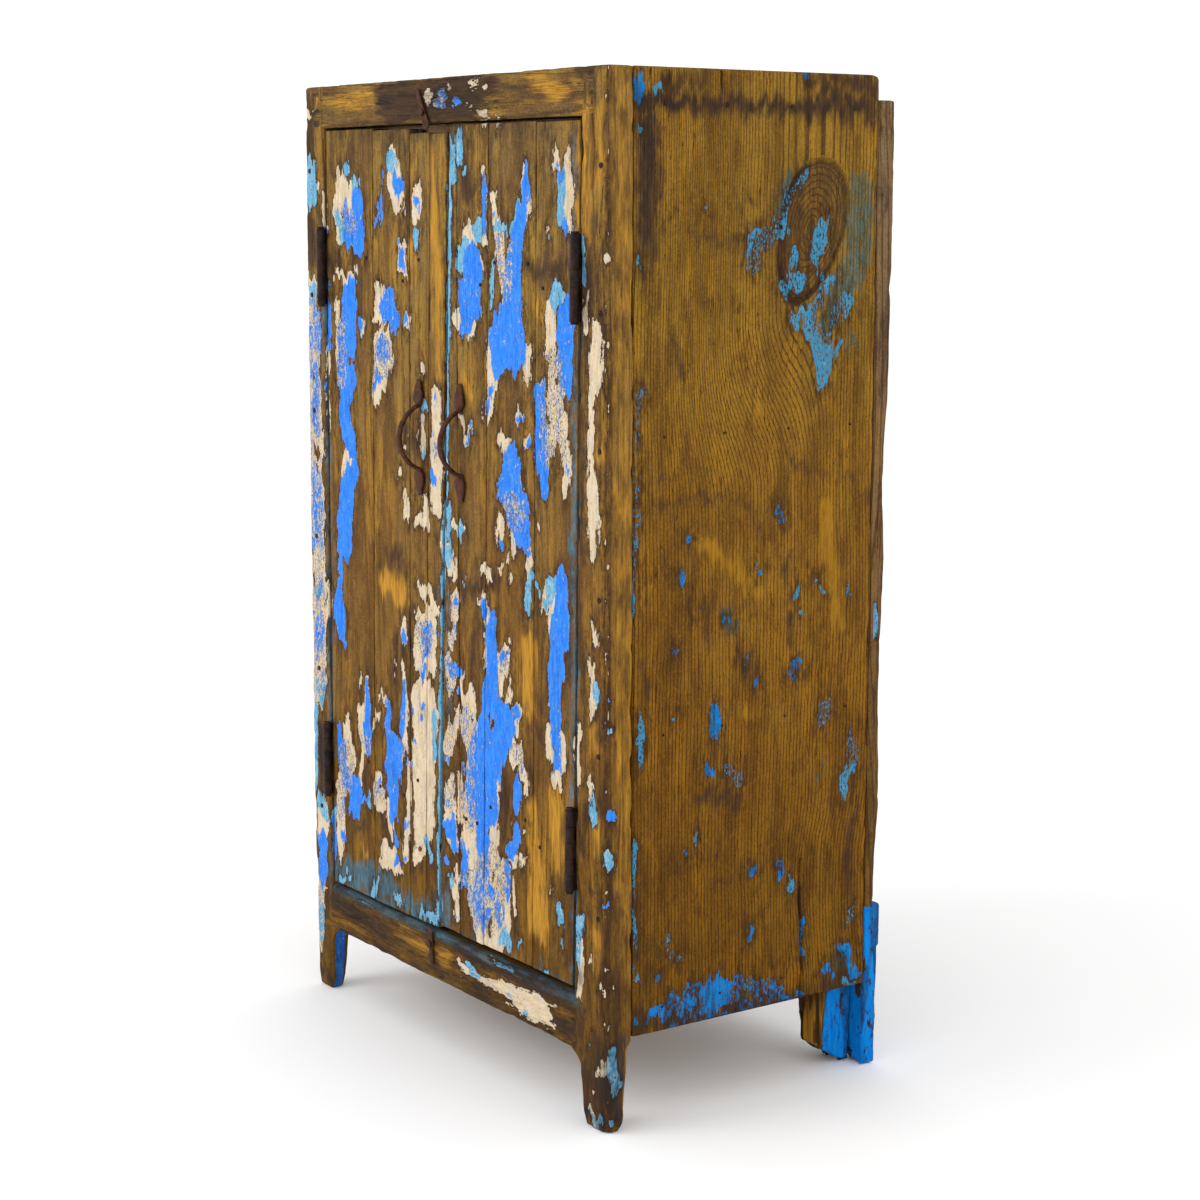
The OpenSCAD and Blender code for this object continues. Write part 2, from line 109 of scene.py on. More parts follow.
def strokes_field(u, v, strokes):
    """How deep (u, v) lies inside a set of strokes, in mm, and below 0 outside.
    A stroke is a chain of (u, v, half width) points."""
    field = np.full(len(u), NOWHERE)
    for stroke in strokes:
        if len(stroke) == 1:
            stroke = stroke * 2
        for (u0, v0, r0), (u1, v1, r1) in zip(stroke, stroke[1:]):
            near = ((u > min(u0, u1) - STROKE_REACH) & (u < max(u0, u1) + STROKE_REACH)
                    & (v > min(v0, v1) - STROKE_REACH) & (v < max(v0, v1) + STROKE_REACH))
            if not near.any():
                continue
            du, dv = u1 - u0, v1 - v0
            t = ((u[near] - u0) * du + (v[near] - v0) * dv) / max(du * du + dv * dv, 1e-9)
            t = np.clip(t, 0, 1)
            gap = np.hypot(u[near] - u0 - t * du, v[near] - v0 - t * dv)
            field[near] = np.maximum(field[near], r0 + (r1 - r0) * t - gap)
    return field


# ---------------------------------------------------------------- reading the CAD frame

_cad = {}


def cad_mesh(node):
    """Vertices in mm and edges of a CAD node."""
    if node not in _cad:
        mesh = frame["nodes"][node].data
        co = np.empty(len(mesh.vertices) * 3)
        mesh.vertices.foreach_get("co", co)
        edges = np.empty(len(mesh.edges) * 2, int)
        mesh.edges.foreach_get("vertices", edges)
        _cad[node] = (co.reshape(-1, 3) / MM, edges.reshape(-1, 2))
    return _cad[node]


def limits(node):
    """Lowest and highest corner of a CAD node, in mm."""
    co = cad_mesh(node)[0]
    return co.min(0), co.max(0)


def section(node, axis, at):
    """Lowest and highest corner of what a plane across axis cuts from a CAD node."""
    co, edges = cad_mesh(node)
    a, b = co[edges[:, 0]], co[edges[:, 1]]
    da, db = a[:, axis] - at, b[:, axis] - at
    hit = da * db < 0
    p = a[hit] + (b[hit] - a[hit]) * (da[hit] / (da[hit] - db[hit]))[:, None]
    return p.min(0), p.max(0)


def solids(node):
    """Lowest and highest corner of each separate solid of a CAD node."""
    co, edges = cad_mesh(node)
    key = {}
    label = np.array([key.setdefault(tuple(k), len(key)) for k in np.round(co, 3).tolist()])
    parent = list(range(len(key)))

    def root(i):
        while parent[i] != i:
            parent[i] = parent[parent[i]]
            i = parent[i]
        return i

    for a, b in label[edges].tolist():
        parent[root(a)] = root(b)
    group = np.array([root(i) for i in label.tolist()])
    return [(co[group == g].min(0), co[group == g].max(0)) for g in np.unique(group)]


# ---------------------------------------------------------------- building meshes

def build(name, co, faces, body, material, attributes=None, replaces=(), sharp=False):
    """A mesh object from points in mm, riding on a body."""
    mesh = bpy.data.meshes.new(name)
    mesh.from_pydata((co * MM).tolist(), [], faces)
    for key, value in (attributes or {}).items():
        vector = value.ndim == 2
        kind = "FLOAT_VECTOR" if vector else "FLOAT"
        attribute = mesh.attributes.new(key, kind, "POINT")
        attribute.data.foreach_set("vector" if vector else "value",
                                   value.astype(np.float32).ravel())
    mesh.polygons.foreach_set("use_smooth", [not sharp] * len(mesh.polygons))
    mesh.materials.append(material)
    obj = bpy.data.objects.new(name, mesh)
    bpy.context.scene.collection.objects.link(obj)
    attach(obj, body)
    if replaces:
        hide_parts(*replaces)
    return obj


def tube_quads(rings, count):
    """The quads round a tube of rings with count points each, and its two end faces."""
    i = np.arange(rings - 1)[:, None] * count
    k = np.arange(count)[None, :]
    nxt = (k + 1) % count
    quads = np.stack([i + k, i + nxt, i + count + nxt, i + count + k], -1).reshape(-1, 4)
    ends = [list(range(count))[::-1], [(rings - 1) * count + n for n in range(count)]]
    return quads, ends


def ring_points(low, high, radius, along_a, along_b, arc=4):
    """Points round a rounded rectangle for every station.
    Returns a, b, outward na, nb (stations x points) and which corner each point is nearest."""
    a0, b0, a1, b1 = (v[:, None] for v in (low[:, 0], low[:, 1], high[:, 0], high[:, 1]))
    corners = [(a0, b0, 1, 1, 180), (a1, b0, -1, 1, 270), (a1, b1, -1, -1, 0), (a0, b1, 1, -1, 90)]
    a, b, na, nb, corner = [], [], [], [], []
    ends = []
    for k, (ca, cb, sa, sb, start) in enumerate(corners):
        r = radius[:, k:k + 1]
        angle = np.radians(start + np.linspace(0, 90, arc + 1))[None, :]
        a.append(ca + sa * r + r * np.cos(angle))
        b.append(cb + sb * r + r * np.sin(angle))
        na.append(np.cos(angle) + 0 * r)
        nb.append(np.sin(angle) + 0 * r)
        corner.append(np.full(arc + 1, k))
        ends.append((a[-1][:, :1], b[-1][:, :1], a[-1][:, -1:], b[-1][:, -1:]))
    out = [[], [], [], [], []]
    for k in range(4):
        nxt = (k + 1) % 4
        f = (along_a if k % 2 == 0 else along_b)[None, :]
        f = f if k < 2 else 1 - f[:, ::-1]
        sa = ends[k][2] + (ends[nxt][0] - ends[k][2]) * f
        sb = ends[k][3] + (ends[nxt][1] - ends[k][3]) * f
        direction = [(0, -1), (1, 0), (0, 1), (-1, 0)][k]
        pieces = ((a[k], sa), (b[k], sb), (na[k], sa * 0 + direction[0]),
                  (nb[k], sa * 0 + direction[1]))
        for target, pair in zip(out, pieces):
            target.extend(pair)
        out[4].append(corner[k])
        out[4].append(np.full(f.shape[1], 4 + k))
    return [np.concatenate(part, axis=1) for part in out[:4]] + [np.concatenate(out[4])]


class Board:
    """A worn board: a rounded rectangle swept along one axis between CAD sections.
    pts are its points in mm, flat the same points before wear, nrm their outward directions
    and side the arris or face that each is on."""

    def __init__(self, name, nodes, axis, across, stations, low, high, grid=3.0, edge=1.6,
                 wear=1.0, wave=0.5, columns=(), rounds=None):
        self.name, self.nodes, self.axis, self.across = name, nodes, axis, across
        self.depth = 3 - axis - across
        self.seed = seed_of(name)
        t = np.asarray(stations, float)
        low, high = np.asarray(low, float), np.asarray(high, float)
        width = np.median(high - low, axis=0)
        along_a = self.spread(width[0], grid, columns, np.median(low[:, 0]))
        along_b = np.linspace(0, 1, max(2, int(width[1] / max(grid, 4.0))) + 1)[1:-1]
        # worn arrises: the radius changes along the board and jumps where it is chipped
        radius = np.empty((len(t), 4))
        for k in range(4):
            line = np.stack([t, t * 0 + 31 * k, t * 0], 1)
            chips = smooth(noise(line, (26, 1, 1), self.seed + 5, 3), 0.35, 0.9)
            rounded = edge * (1 + 0.5 * noise(line, (60, 1, 1), self.seed, 3))
            radius[:, k] = rounded + 2.2 * wear * chips
        for k, (first, last) in (rounds or {}).items():
            radius[:, k] += np.interp(t, [t[0], t[-1]], [first, last])
        radius = np.clip(radius, 0.4, 0.45 * (high - low).min(1)[:, None])
        # rounded ends: the first and last rings shrink towards the middle of the board
        end = edge * 1.3
        steps = [(0.0, 1.0), (0.12, 0.55), (0.45, 0.16), (1.0, 0.0)]
        first = [(t[0] + s * end, q * end) for s, q in steps]
        last = [(t[-1] - s * end, q * end) for s, q in steps[::-1]]
        keep = (t > t[0] + 1.3 * end) & (t < t[-1] - 1.3 * end)
        all_t = np.concatenate([[p[0] for p in first], t[keep], [p[0] for p in last]])
        inset = np.concatenate([[p[1] for p in first], t[keep] * 0, [p[1] for p in last]])
        low = np.stack([np.interp(all_t, t, low[:, k]) for k in (0, 1)], 1) + inset[:, None]
        high = np.stack([np.interp(all_t, t, high[:, k]) for k in (0, 1)], 1) - inset[:, None]
        radius = np.stack([np.interp(all_t, t, radius[:, k]) for k in range(4)], 1)
        a, b, na, nb, side = ring_points(low, high, radius, along_a, along_b)
        self.rings, self.count = a.shape
        self.pts = np.zeros((a.size, 3))
        self.nrm = np.zeros((a.size, 3))
        self.pts[:, across], self.pts[:, self.depth] = a.ravel(), b.ravel()
        self.nrm[:, across], self.nrm[:, self.depth] = na.ravel(), nb.ravel()
        self.pts[:, axis] = np.repeat(all_t, self.count)
        self.side = np.tile(side, self.rings)
        self.flat = self.pts.copy()
        self.t = self.pts[:, axis]
        self.push(-np.abs(self.noise((35, 35, 35), 3)) * wave)

    def spread(self, width, grid, columns, start):
        """Fractions across the board for its columns of points, closer together at cracks."""
        beside = (-3, -1.4, -0.6, 0, 0.6, 1.4, 3)
        f = np.linspace(0, 1, max(3, int(width / grid)) + 1)[1:-1]
        extra = [(c + d - start) / width for c in columns for d in beside]
        for c in columns:
            f = f[np.abs(f - (c - start) / width) > 3.4 / width]
        return np.unique(np.concatenate([f, extra]))

    def noise(self, size, offset=0, octaves=3):
        """The board's own noise at its unworn points. Each offset gives another one."""
        return noise(self.flat, size, self.seed + offset, octaves)

    def push(self, distance):
        """Moves each point along its outward direction."""
        self.pts += self.nrm * np.asarray(distance)[:, None]

    def crack(self, face, at, t0, t1, width, depth):
        """Opens a crack from t0 to t1 near column at. It wanders with the grain and closes
        towards its ends, unless it runs out at the end of the board."""
        t = self.t
        line = np.stack([t, t * 0 + at, t * 0], 1)
        wander = 3.0 * noise(line, (45, 1, 1), self.seed + 23, 3)
        d = self.pts[:, self.across] - at
        on_face = (self.side == face) & (t > t0 - 40) & (t < t1 + 40)
        self.pts[on_face, self.across] += (wander * (1 - smooth(np.abs(d), 4, 24)))[on_face]
        open_end = smooth(t, t0, t0 + 25) if t0 > t.min() + 5 else 1.0
        open_end = open_end * (1 - smooth(t, t1 - 25, t1) if t1 < t.max() - 5 else 1.0)
        groove = smooth(np.abs(d), width * 0.6, width * 0.15) * open_end
        self.push(-np.where(on_face, depth * groove, 0.0))

    def faces(self):
        """All faces, turned so that they look outwards."""
        quads, ends = tube_quads(self.rings, self.count)
        p, q, r = (self.pts[quads[:, n]] for n in range(3))
        volume = (p * np.cross(q, r)).sum()
        turn = 1 if volume > 0 else -1
        return quads[:, ::turn].tolist() + [end[::turn] for end in ends]

    def grain(self):
        """Across, depth and along the board, shifted so that no two boards share a pattern."""
        shift = np.array([hashed(self.seed, k, 3, 7) * 4000 for k in range(3)])
        return np.stack([self.flat[:, self.across], self.flat[:, self.depth], self.t], 1) + shift

    def rings_field(self):
        """Distance from a pith far behind the board, which gives straight or arched grain."""
        lo, hi = self.flat.min(0), self.flat.max(0)
        width = hi[self.across] - lo[self.across]
        pith = width * (0.2 + 0.6 * hashed(self.seed, 1, 2, 3))
        a = self.flat[:, self.across] - lo[self.across] - pith
        b = self.flat[:, self.depth] - lo[self.depth] + 30 + 60 * hashed(self.seed, 5, 2, 3)
        drift = noise(np.stack([self.t, self.t * 0, self.t * 0], 1), (260, 1, 1), self.seed, 2)
        taper = 0.02
        return np.hypot(a + 12 * drift, b + (self.t - lo[self.axis]) * taper)

    def make(self, body, slot, material, **attributes):
        """The board's mesh object, in the place of its CAD nodes."""
        attributes.setdefault("ring", self.rings_field())
        attributes.setdefault("grain", self.grain())
        attributes["worn"] = (self.side < LOW_DEPTH).astype(float)
        return build(self.name, self.pts, self.faces(), body, material,
                     attributes=attributes, replaces=self.nodes)


def board_from(node, name, axis, across, grid=3.0, step=4.0, hold=0.05, **kw):
    """A Board that follows the CAD node's own sections along axis. Within hold of its ends it
    keeps the section found there, because tenons and slanted ends narrow it."""
    lo, hi = limits(node)
    depth = 3 - axis - across

    def cut(at):
        c = section(node, axis, min(max(at, lo[axis] + hold), hi[axis] - hold))
        return [(c[0][across], c[0][depth]), (c[1][across], c[1][depth])]

    count = max(4, int((hi[axis] - lo[axis]) / step)) + 1
    stations = np.linspace(lo[axis], hi[axis], count).tolist()
    cuts = [cut(at) for at in stations]
    # more stations where the section changes suddenly
    most_jump, least_gap = 2.5, 0.3
    k = 0
    while k < len(stations) - 1:
        jump = np.abs(np.array(cuts[k + 1]) - np.array(cuts[k])).max()
        if jump > most_jump and stations[k + 1] - stations[k] > least_gap:
            middle = (stations[k] + stations[k + 1]) / 2
            stations.insert(k + 1, middle)
            cuts.insert(k + 1, cut(middle))
        else:
            k += 1
    low, high = [c[0] for c in cuts], [c[1] for c in cuts]
    return Board(name, [node], axis, across, stations, low, high, grid=grid, **kw)


# ---------------------------------------------------------------- materials

DULLNESS = 0.06  # how weakly wood, paint and iron mirror the light

# Colours are linear red, green and blue.
HONEY = (0.232, 0.132, 0.026)
AMBER = (0.150, 0.074, 0.013)
GOLD = (0.35, 0.185, 0.020)
OAK = (0.285, 0.148, 0.012)
UMBER = (0.085, 0.040, 0.012)
SMOKE = (0.040, 0.020, 0.009)
CRACK = (0.012, 0.006, 0.004)
BRIGHT_WOOD = (0.56, 0.265, 0.022)
SOOT_AND_SHADE = (0.040, 0.020, 0.013)
SHADOW_LINE = (0.030, 0.015, 0.010)
DIRT_AND_SHADE = (0.014, 0.013, 0.012)

CREAM, CREAM_DIM = (0.66, 0.53, 0.36), (0.54, 0.42, 0.27)
CREAM_GREY = (0.57, 0.52, 0.44)
CREAM_BROWN = (0.30, 0.21, 0.12)
CREAM_UNDER_BLUE = (0.22, 0.35, 0.52)
SKY, SKY_PALE = (0.075, 0.30, 0.52), (0.20, 0.42, 0.55)
SKY_CHALK = (0.38, 0.50, 0.52)
SKY_SHADE = (0.02, 0.06, 0.09)
SKY_THIN = (0.012, 0.20, 0.36)
STRONG_BLUE = (0.010, 0.155, 0.72)
AZURE = (0.002, 0.150, 0.47)
AZURE_DEEP = (0.001, 0.165, 0.56)
BLUE_SHADE = (0.008, 0.060, 0.100)

class Nodes:
    """A short way to write a material's nodes."""

    def __init__(self, name):
        self.material = bpy.data.materials.new(name)
        self.material.use_nodes = True
        self.tree = self.material.node_tree
        self.tree.nodes.clear()

    def add(self, kind, inputs=None, **settings):
        """A node of a kind, with its inputs set to values or linked to other nodes' outputs."""
        node = self.tree.nodes.new(kind)
        for key, value in settings.items():
            setattr(node, key, value)
        for key, value in (inputs or {}).items():
            if isinstance(value, bpy.types.NodeSocket):
                self.tree.links.new(value, node.inputs[key])
            else:
                node.inputs[key].default_value = value
        return node

    def math(self, operation, a, b=0.0):
        return self.add("ShaderNodeMath", {0: a, 1: b}, operation=operation).outputs[0]

    def attribute(self, name, vector=False):
        node = self.add("ShaderNodeAttribute", attribute_name=name)
        return node.outputs["Vector" if vector else "Fac"]

    def scaled(self, at, factors):
        return self.add("ShaderNodeVectorMath", {0: at, 1: factors}, operation="MULTIPLY").outputs[0]

    def noise(self, at, size, detail=3.0, rough=0.55):
        """Noise with lumps of size (across, depth, along) in mm."""
        place = self.scaled(at, [1.0 / s for s in size])
        node = self.add("ShaderNodeTexNoise", {"Vector": place, "Scale": 1.0, "Detail": detail,
                                               "Roughness": rough})
        return node.outputs["Fac"]

    def step(self, x, low, high, to_low=0.0, to_high=1.0):
        """Goes smoothly from to_low to to_high while x goes from low to high."""
        node = self.add("ShaderNodeMapRange", {"Value": x, "From Min": low, "From Max": high,
                                               "To Min": to_low, "To Max": to_high},
                        interpolation_type="SMOOTHSTEP")
        return node.outputs[0]

    def mix(self, fac, a, b, blend="MIX"):
        """Colour a where fac is 0 and b where it is 1."""
        def colour(v):
            return v if isinstance(v, bpy.types.NodeSocket) else (*v, 1.0)
        node = self.add("ShaderNodeMix", {0: fac, 6: colour(a), 7: colour(b)}, data_type="RGBA",
                        blend_type=blend)
        return node.outputs[2]

    def swing(self, x, amount, middle=0.5):
        """How far x is above its middle, times amount."""
        return self.product(self.math("SUBTRACT", x, middle), amount)

    def sum(self, *terms):
        total = terms[0]
        for term in terms[1:]:
            total = self.math("ADD", total, term)
        return total

    def product(self, *terms):
        total = terms[0]
        for term in terms[1:]:
            total = self.math("MULTIPLY", total, term)
        return total

    def finish(self, colour, roughness, height, metallic=None):
        """The material, with its surface raised by height in mm."""
        bump = self.add("ShaderNodeBump", {"Height": height, "Distance": MM, "Strength": 1.0})
        inputs = {"Base Color": colour, "Roughness": roughness, "Normal": bump.outputs[0]}
        if metallic is not None:
            inputs["Metallic"] = metallic
        shader = self.add("ShaderNodeBsdfPrincipled", inputs)
        shader.inputs["Specular IOR Level"].default_value = DULLNESS
        out = self.add("ShaderNodeOutputMaterial")
        self.tree.links.new(shader.outputs[0], out.inputs[0])
        return self.material


def wood_layers(n, light, dark, late, orange, stain, period, contrast=1.0):
    """Colour, roughness and height of bare old softwood, with the noises that the paint uses too.
    late, orange and stain are the colours of its late rings, warm patches and dark lines; period
    is the width of a year's ring in mm."""
    grain = n.attribute("grain", vector=True)
    place = n.add("ShaderNodeTexCoord").outputs["Object"]
    height_up = n.add("ShaderNodeSeparateXYZ", {0: place}).outputs["Z"]
    broad = n.noise(grain, (60, 60, 240), 3)
    mood = n.noise(grain, (26, 26, 150), 5, 0.6)
    streak = n.noise(grain, (5, 5, 130), 6, 0.62)
    fine = n.noise(grain, (0.8, 0.8, 24), 5, 0.65)
    fibre = n.noise(grain, (0.35, 0.35, 7), 3, 0.6)
    tiny = n.noise(grain, (1.1, 1.1, 3.2), 4, 0.65)
    pore = n.noise(grain, (1.7, 1.7, 2.6), 3, 0.8)
    hairline = n.noise(grain, (3.2, 3.2, 110), 3, 0.5)
    from_hairline = n.math("ABSOLUTE", n.math("SUBTRACT", hairline, 0.52))
    check = n.product(n.step(from_hairline, 0.010, 0.002), n.step(mood, 0.50, 0.56))
    ring = n.math("DIVIDE", n.sum(n.attribute("ring"), n.product(streak, period * 0.8),
                                  n.product(fine, period * 0.2)), period)
    part = n.math("FRACT", ring)
    line = n.product(n.step(part, 0.58, 0.90), n.step(part, 1.0, 0.96),
                     n.step(streak, 0.2, 0.6, 0.55, 1.0))
    colour = n.mix(n.step(broad, 0.38, 0.62), light, dark)
    colour = n.mix(n.step(mood, 0.50, 0.62, 0.0, 0.8), colour, orange)
    colour = n.mix(n.step(mood, 0.47, 0.34, 0.0, 0.75), colour, late)
    colour = n.mix(n.step(streak, 0.53, 0.68, 0.0, 0.45), colour, orange)
    colour = n.mix(n.step(streak, 0.46, 0.30, 0.0, 0.35), colour, late)
    blotch = n.noise(grain, (16, 16, 34), 5, 0.62)
    colour = n.mix(n.step(blotch, 0.50, 0.66, 0.0, 0.5), colour, late)
    colour = n.mix(n.step(blotch, 0.44, 0.30, 0.0, 0.5), colour, orange)
    colour = n.mix(n.product(line, 0.78 * contrast), colour, stain)
    colour = n.mix(n.step(fine, 0.53, 0.66, 0.0, 0.6 * contrast), colour, stain)
    colour = n.mix(n.step(fibre, 0.5, 0.7, 0.0, 0.4), colour, late)
    colour = n.mix(n.step(tiny, 0.60, 0.70, 0.0, 0.75), colour, stain)
    colour = n.mix(n.step(pore, 0.50, 0.62, 0.0, 0.42), colour, late)
    colour = n.mix(n.step(pore, 0.46, 0.36, 0.0, 0.35), colour, orange)
    colour = n.mix(check, colour, CRACK)
    # painted shade by height: the wood is made darker and redder towards the floor and greyer at the top
    height_shade = n.add("ShaderNodeCombineXYZ", {0: n.step(height_up, 0.02, 0.75, 0.70, 1.0),
                                          1: n.step(height_up, 0.02, 0.95, 0.62, 1.06),
                                          2: n.step(height_up, 0.05, 1.05, 0.40, 1.45)})
    colour = n.mix(1.0, colour, height_shade.outputs[0], blend="MULTIPLY")
    height = n.sum(n.product(line, 0.25), n.product(fine, -0.34), n.product(streak, -0.35),
                   n.product(check, -0.7), n.product(tiny, -0.2), n.product(fibre, -0.12))
    rough = n.step(fine, 0.3, 0.7, 0.52, 0.75)
    return grain, colour, rough, height, streak, fine


def paint_coat(n, base, mask, colour, relief):
    """Lays a coat of paint over base, a (colour, roughness, height), where mask is 1."""
    colour_out = n.mix(mask, base[0], colour)
    rough = n.sum(base[1], n.product(mask, n.math("SUBTRACT", 0.55, base[1])))
    return colour_out, rough, n.sum(base[2], n.product(mask, relief))


def painted_wood(name, light, dark, late, orange, stain, period, contrast, thin=0.0,
                 strong=STRONG_BLUE, creamed=True):
    """Old boards under the remains of three coats: cream, then sky blue, then strong blue.
    The attributes cream, sky and blue say how deep inside a patch a point lies, in mm; speck
    does the same for crumbling paint, soot_and_shade, dirt_and_shade and haze for dark stains,
    grime and painted shade in places, and a thin blue-green film, and glow for bright wood. thin
    is above 0 for scraped paint, and creamed is False for boards that never had the cream coat."""
    n = Nodes(name)
    grain, colour, rough, height, streak, fine = wood_layers(
        n, light, dark, late, orange, stain, period, contrast)
    ragged = n.noise(grain, (5, 5, 15), 6, 0.68)
    torn = n.noise(grain, (9, 9, 48), 4, 0.6)
    flake = n.noise(grain, (2.2, 2.2, 4.5), 4, 0.6)
    crumb = n.noise(grain, (1.3, 1.3, 2.6), 4, 0.7)
    mottle = n.noise(grain, (7, 7, 16), 6, 0.72)
    edge = n.sum(n.swing(ragged, 18.0), n.swing(torn, 12.0), n.swing(flake, 6.0))
    edge_cream = n.sum(edge, n.swing(mottle, 9.0))
    along = n.sum(n.swing(streak, 46.0), n.swing(torn, 26.0))
    brushed = n.noise(grain, (3.5, 3.5, 7), 6, 0.75)
    speck = n.step(n.attribute("speck"), -6.0, 6.0)

    # the wood between the patches: bright, hazy and dark places, the dark ones soot with painted shade
    # in places
    glow = n.step(n.sum(n.attribute("glow"), along), -7.0, 9.0)
    bright = BRIGHT_WOOD if creamed else orange
    colour = n.mix(n.product(glow, 0.85), colour, n.mix(n.step(fine, 0.40, 0.68), bright, light))
    pull = 0.7 if creamed else 0.3
    hazy = n.sum(n.attribute("haze"), edge, n.product(along, 0.7 * pull))
    haze = n.product(n.step(hazy, -6.0, 8.0), n.step(flake, 0.3, 0.6, 0.3, 0.8))
    if creamed:
        haze_low, haze_high = (0.022, 0.12, 0.17), (0.035, 0.21, 0.33)
    else:
        haze_low, haze_high = (0.034, 0.060, 0.040), (0.024, 0.12, 0.13)
    colour = n.mix(haze, colour, n.mix(n.step(ragged, 0.45, 0.6), haze_low, haze_high))
    soot_and_shade = n.step(n.sum(n.attribute("soot_and_shade"), n.product(along, pull), edge), -8.0, 9.0)
    colour = n.mix(n.product(soot_and_shade, n.step(streak, 0.75, 0.3, 0.7, 0.96)), colour, SOOT_AND_SHADE)

    # how deep a point lies in each coat; cream shows round the blue that was laid on it
    sky_in = n.sum(n.attribute("sky"), n.product(edge, 0.8))
    blue_laid = n.sum(n.attribute("blue"), edge)
    cream_in = n.math("MAXIMUM", n.sum(n.attribute("cream"), edge_cream),
                      n.math("SUBTRACT", blue_laid, 0.2))
    mottled = n.sum(n.swing(mottle, 60.0, 0.53), n.swing(speck, 30.0, 1.0))
    mottled = n.math("MINIMUM", mottled, n.math("SUBTRACT", cream_in, 1.0))
    blue_in = n.math("MAXIMUM", n.math("SUBTRACT", blue_laid, 0.6), mottled)
    deepest = n.math("MAXIMUM", cream_in, sky_in)
    # rim is a dark line painted round the edge of each patch: the shadow of the paint's raised edge,
    # together with grime
    rim = n.product(n.step(deepest, -3.6, -0.3), n.step(crumb, 0.2, 0.55), 0.35 if thin else 1.0)
    grime = n.product(n.step(deepest, -20.0, -2.0),
                      n.step(n.sum(mottle, n.product(torn, 0.6)), 0.70, 0.92))
    colour = n.mix(n.product(grime, 0.8), colour, stain)
    colour = n.mix(n.product(rim, 0.85), colour, SHADOW_LINE)

    # the cream coat
    holes = n.step(n.sum(crumb, n.product(speck, 0.08)), 0.68, 0.63)
    cream_mask = n.product(n.step(cream_in, -0.2, 0.4), holes, 1.0 if creamed else 0.0)
    cream = n.mix(n.step(ragged, 0.35, 0.65), CREAM, CREAM_DIM)
    cream = n.mix(n.step(mottle, 0.5, 0.6, 0.0, 0.55), cream, CREAM_GREY)
    cream = n.mix(n.step(fine, 0.56, 0.74, 0.0, 0.45), cream, CREAM_BROWN)
    blued = n.product(n.step(blue_laid, -3.0, 2.0), n.step(flake, 0.40, 0.56), 0.75)
    cream = n.mix(blued, cream, CREAM_UNDER_BLUE)
    base = paint_coat(n, (colour, rough, height), cream_mask, cream, 0.35)

    # the sky blue coat
    crumble, gone, whole = (0.12, 0.62, 0.50) if thin else (0.08, 0.66, 0.60)
    sky_mask = n.product(n.step(sky_in, -0.3, 0.4),
                         n.step(n.sum(flake, n.product(speck, crumble)), gone, whole))
    sky = n.mix(n.step(flake, 0.4, 0.62), SKY, SKY_PALE)
    sky = n.mix(n.step(mottle, 0.52, 0.66, 0.0, 0.7), sky, SKY_CHALK)
    sky = n.mix(n.step(fine, 0.55, 0.7, 0.0, 0.6), sky, SKY_SHADE)
    if thin:
        sky = n.mix(2 * thin, sky, SKY_THIN)
        scraped = n.step(n.sum(flake, n.product(streak, 0.5)), 0.92, 0.76)
        sky_mask = n.product(sky_mask, scraped)
    base = paint_coat(n, base, sky_mask, sky, 0.25)

    # the strong blue coat
    wear = n.sum(n.product(brushed, 0.7), n.product(mottle, 0.3), n.product(speck, 0.085))
    worn_through = n.step(wear, 0.60, 0.575)
    blue_mask = n.product(n.step(blue_in, -0.2, 0.4), worn_through)
    if thin:
        blue_mask = n.product(blue_mask, scraped)
    fresh, chalk = (0.4, 1.0, 0.1), (0.17, 0.36, 0.66)
    if not creamed:
        fresh, chalk = (0.0, 0.7, 1.2), (0.004, 0.20, 0.45)
    fresher = [c * 1.05 + 0.07 * k for c, k in zip(strong, fresh)]
    blue = n.mix(n.step(ragged, 0.35, 0.66), strong, fresher)
    blue = n.mix(n.step(flake, 0.55, 0.75, 0.0, 0.6), blue, chalk)
    if thin:
        blue = n.mix(n.step(torn, 0.46, 0.66, 0.0, 0.7), blue, BLUE_SHADE)
    colour, rough, height = paint_coat(n, base, blue_mask, blue, 0.3)

    # dirt, and in places painted shade, over everything
    dirt_and_shade = n.product(n.step(n.sum(n.attribute("dirt_and_shade"), edge), -7.0, 8.0),
                     n.step(mottle, 0.62, 0.36, 0.45, 0.95))
    colour = n.mix(dirt_and_shade, colour, n.mix(0.15, DIRT_AND_SHADE, colour))
    return n.finish(colour, rough, height)


def iron(name, dark, brown, rust, amount):
    """Hand-forged iron, from nearly black to red rust."""
    n = Nodes(name)
    place = n.add("ShaderNodeTexCoord").outputs["Object"]
    at = n.scaled(place, [1 / MM] * 3)
    lumps = n.noise(at, (9, 9, 14), 4)
    pits = n.noise(at, (1.4, 1.4, 1.8), 5, 0.65)
    bloom = n.noise(at, (4, 4, 5), 5, 0.7)
    colour = n.mix(n.step(lumps, 0.35, 0.65), dark, brown)
    colour = n.mix(n.product(n.step(bloom, 0.62 - 0.2 * amount, 0.72), 0.85), colour, rust)
    colour = n.mix(n.step(pits, 0.58, 0.75, 0.0, 0.6), colour, (0.012, 0.008, 0.007))
    height = n.sum(n.product(pits, -0.5), n.product(bloom, 0.35), n.product(lumps, 0.3))
    rough = n.step(bloom, 0.35, 0.7, 0.42, 0.85)
    metal = n.step(bloom, 0.7, 0.4, 0.0, 0.55)
    return n.finish(colour, rough, height, metallic=metal)


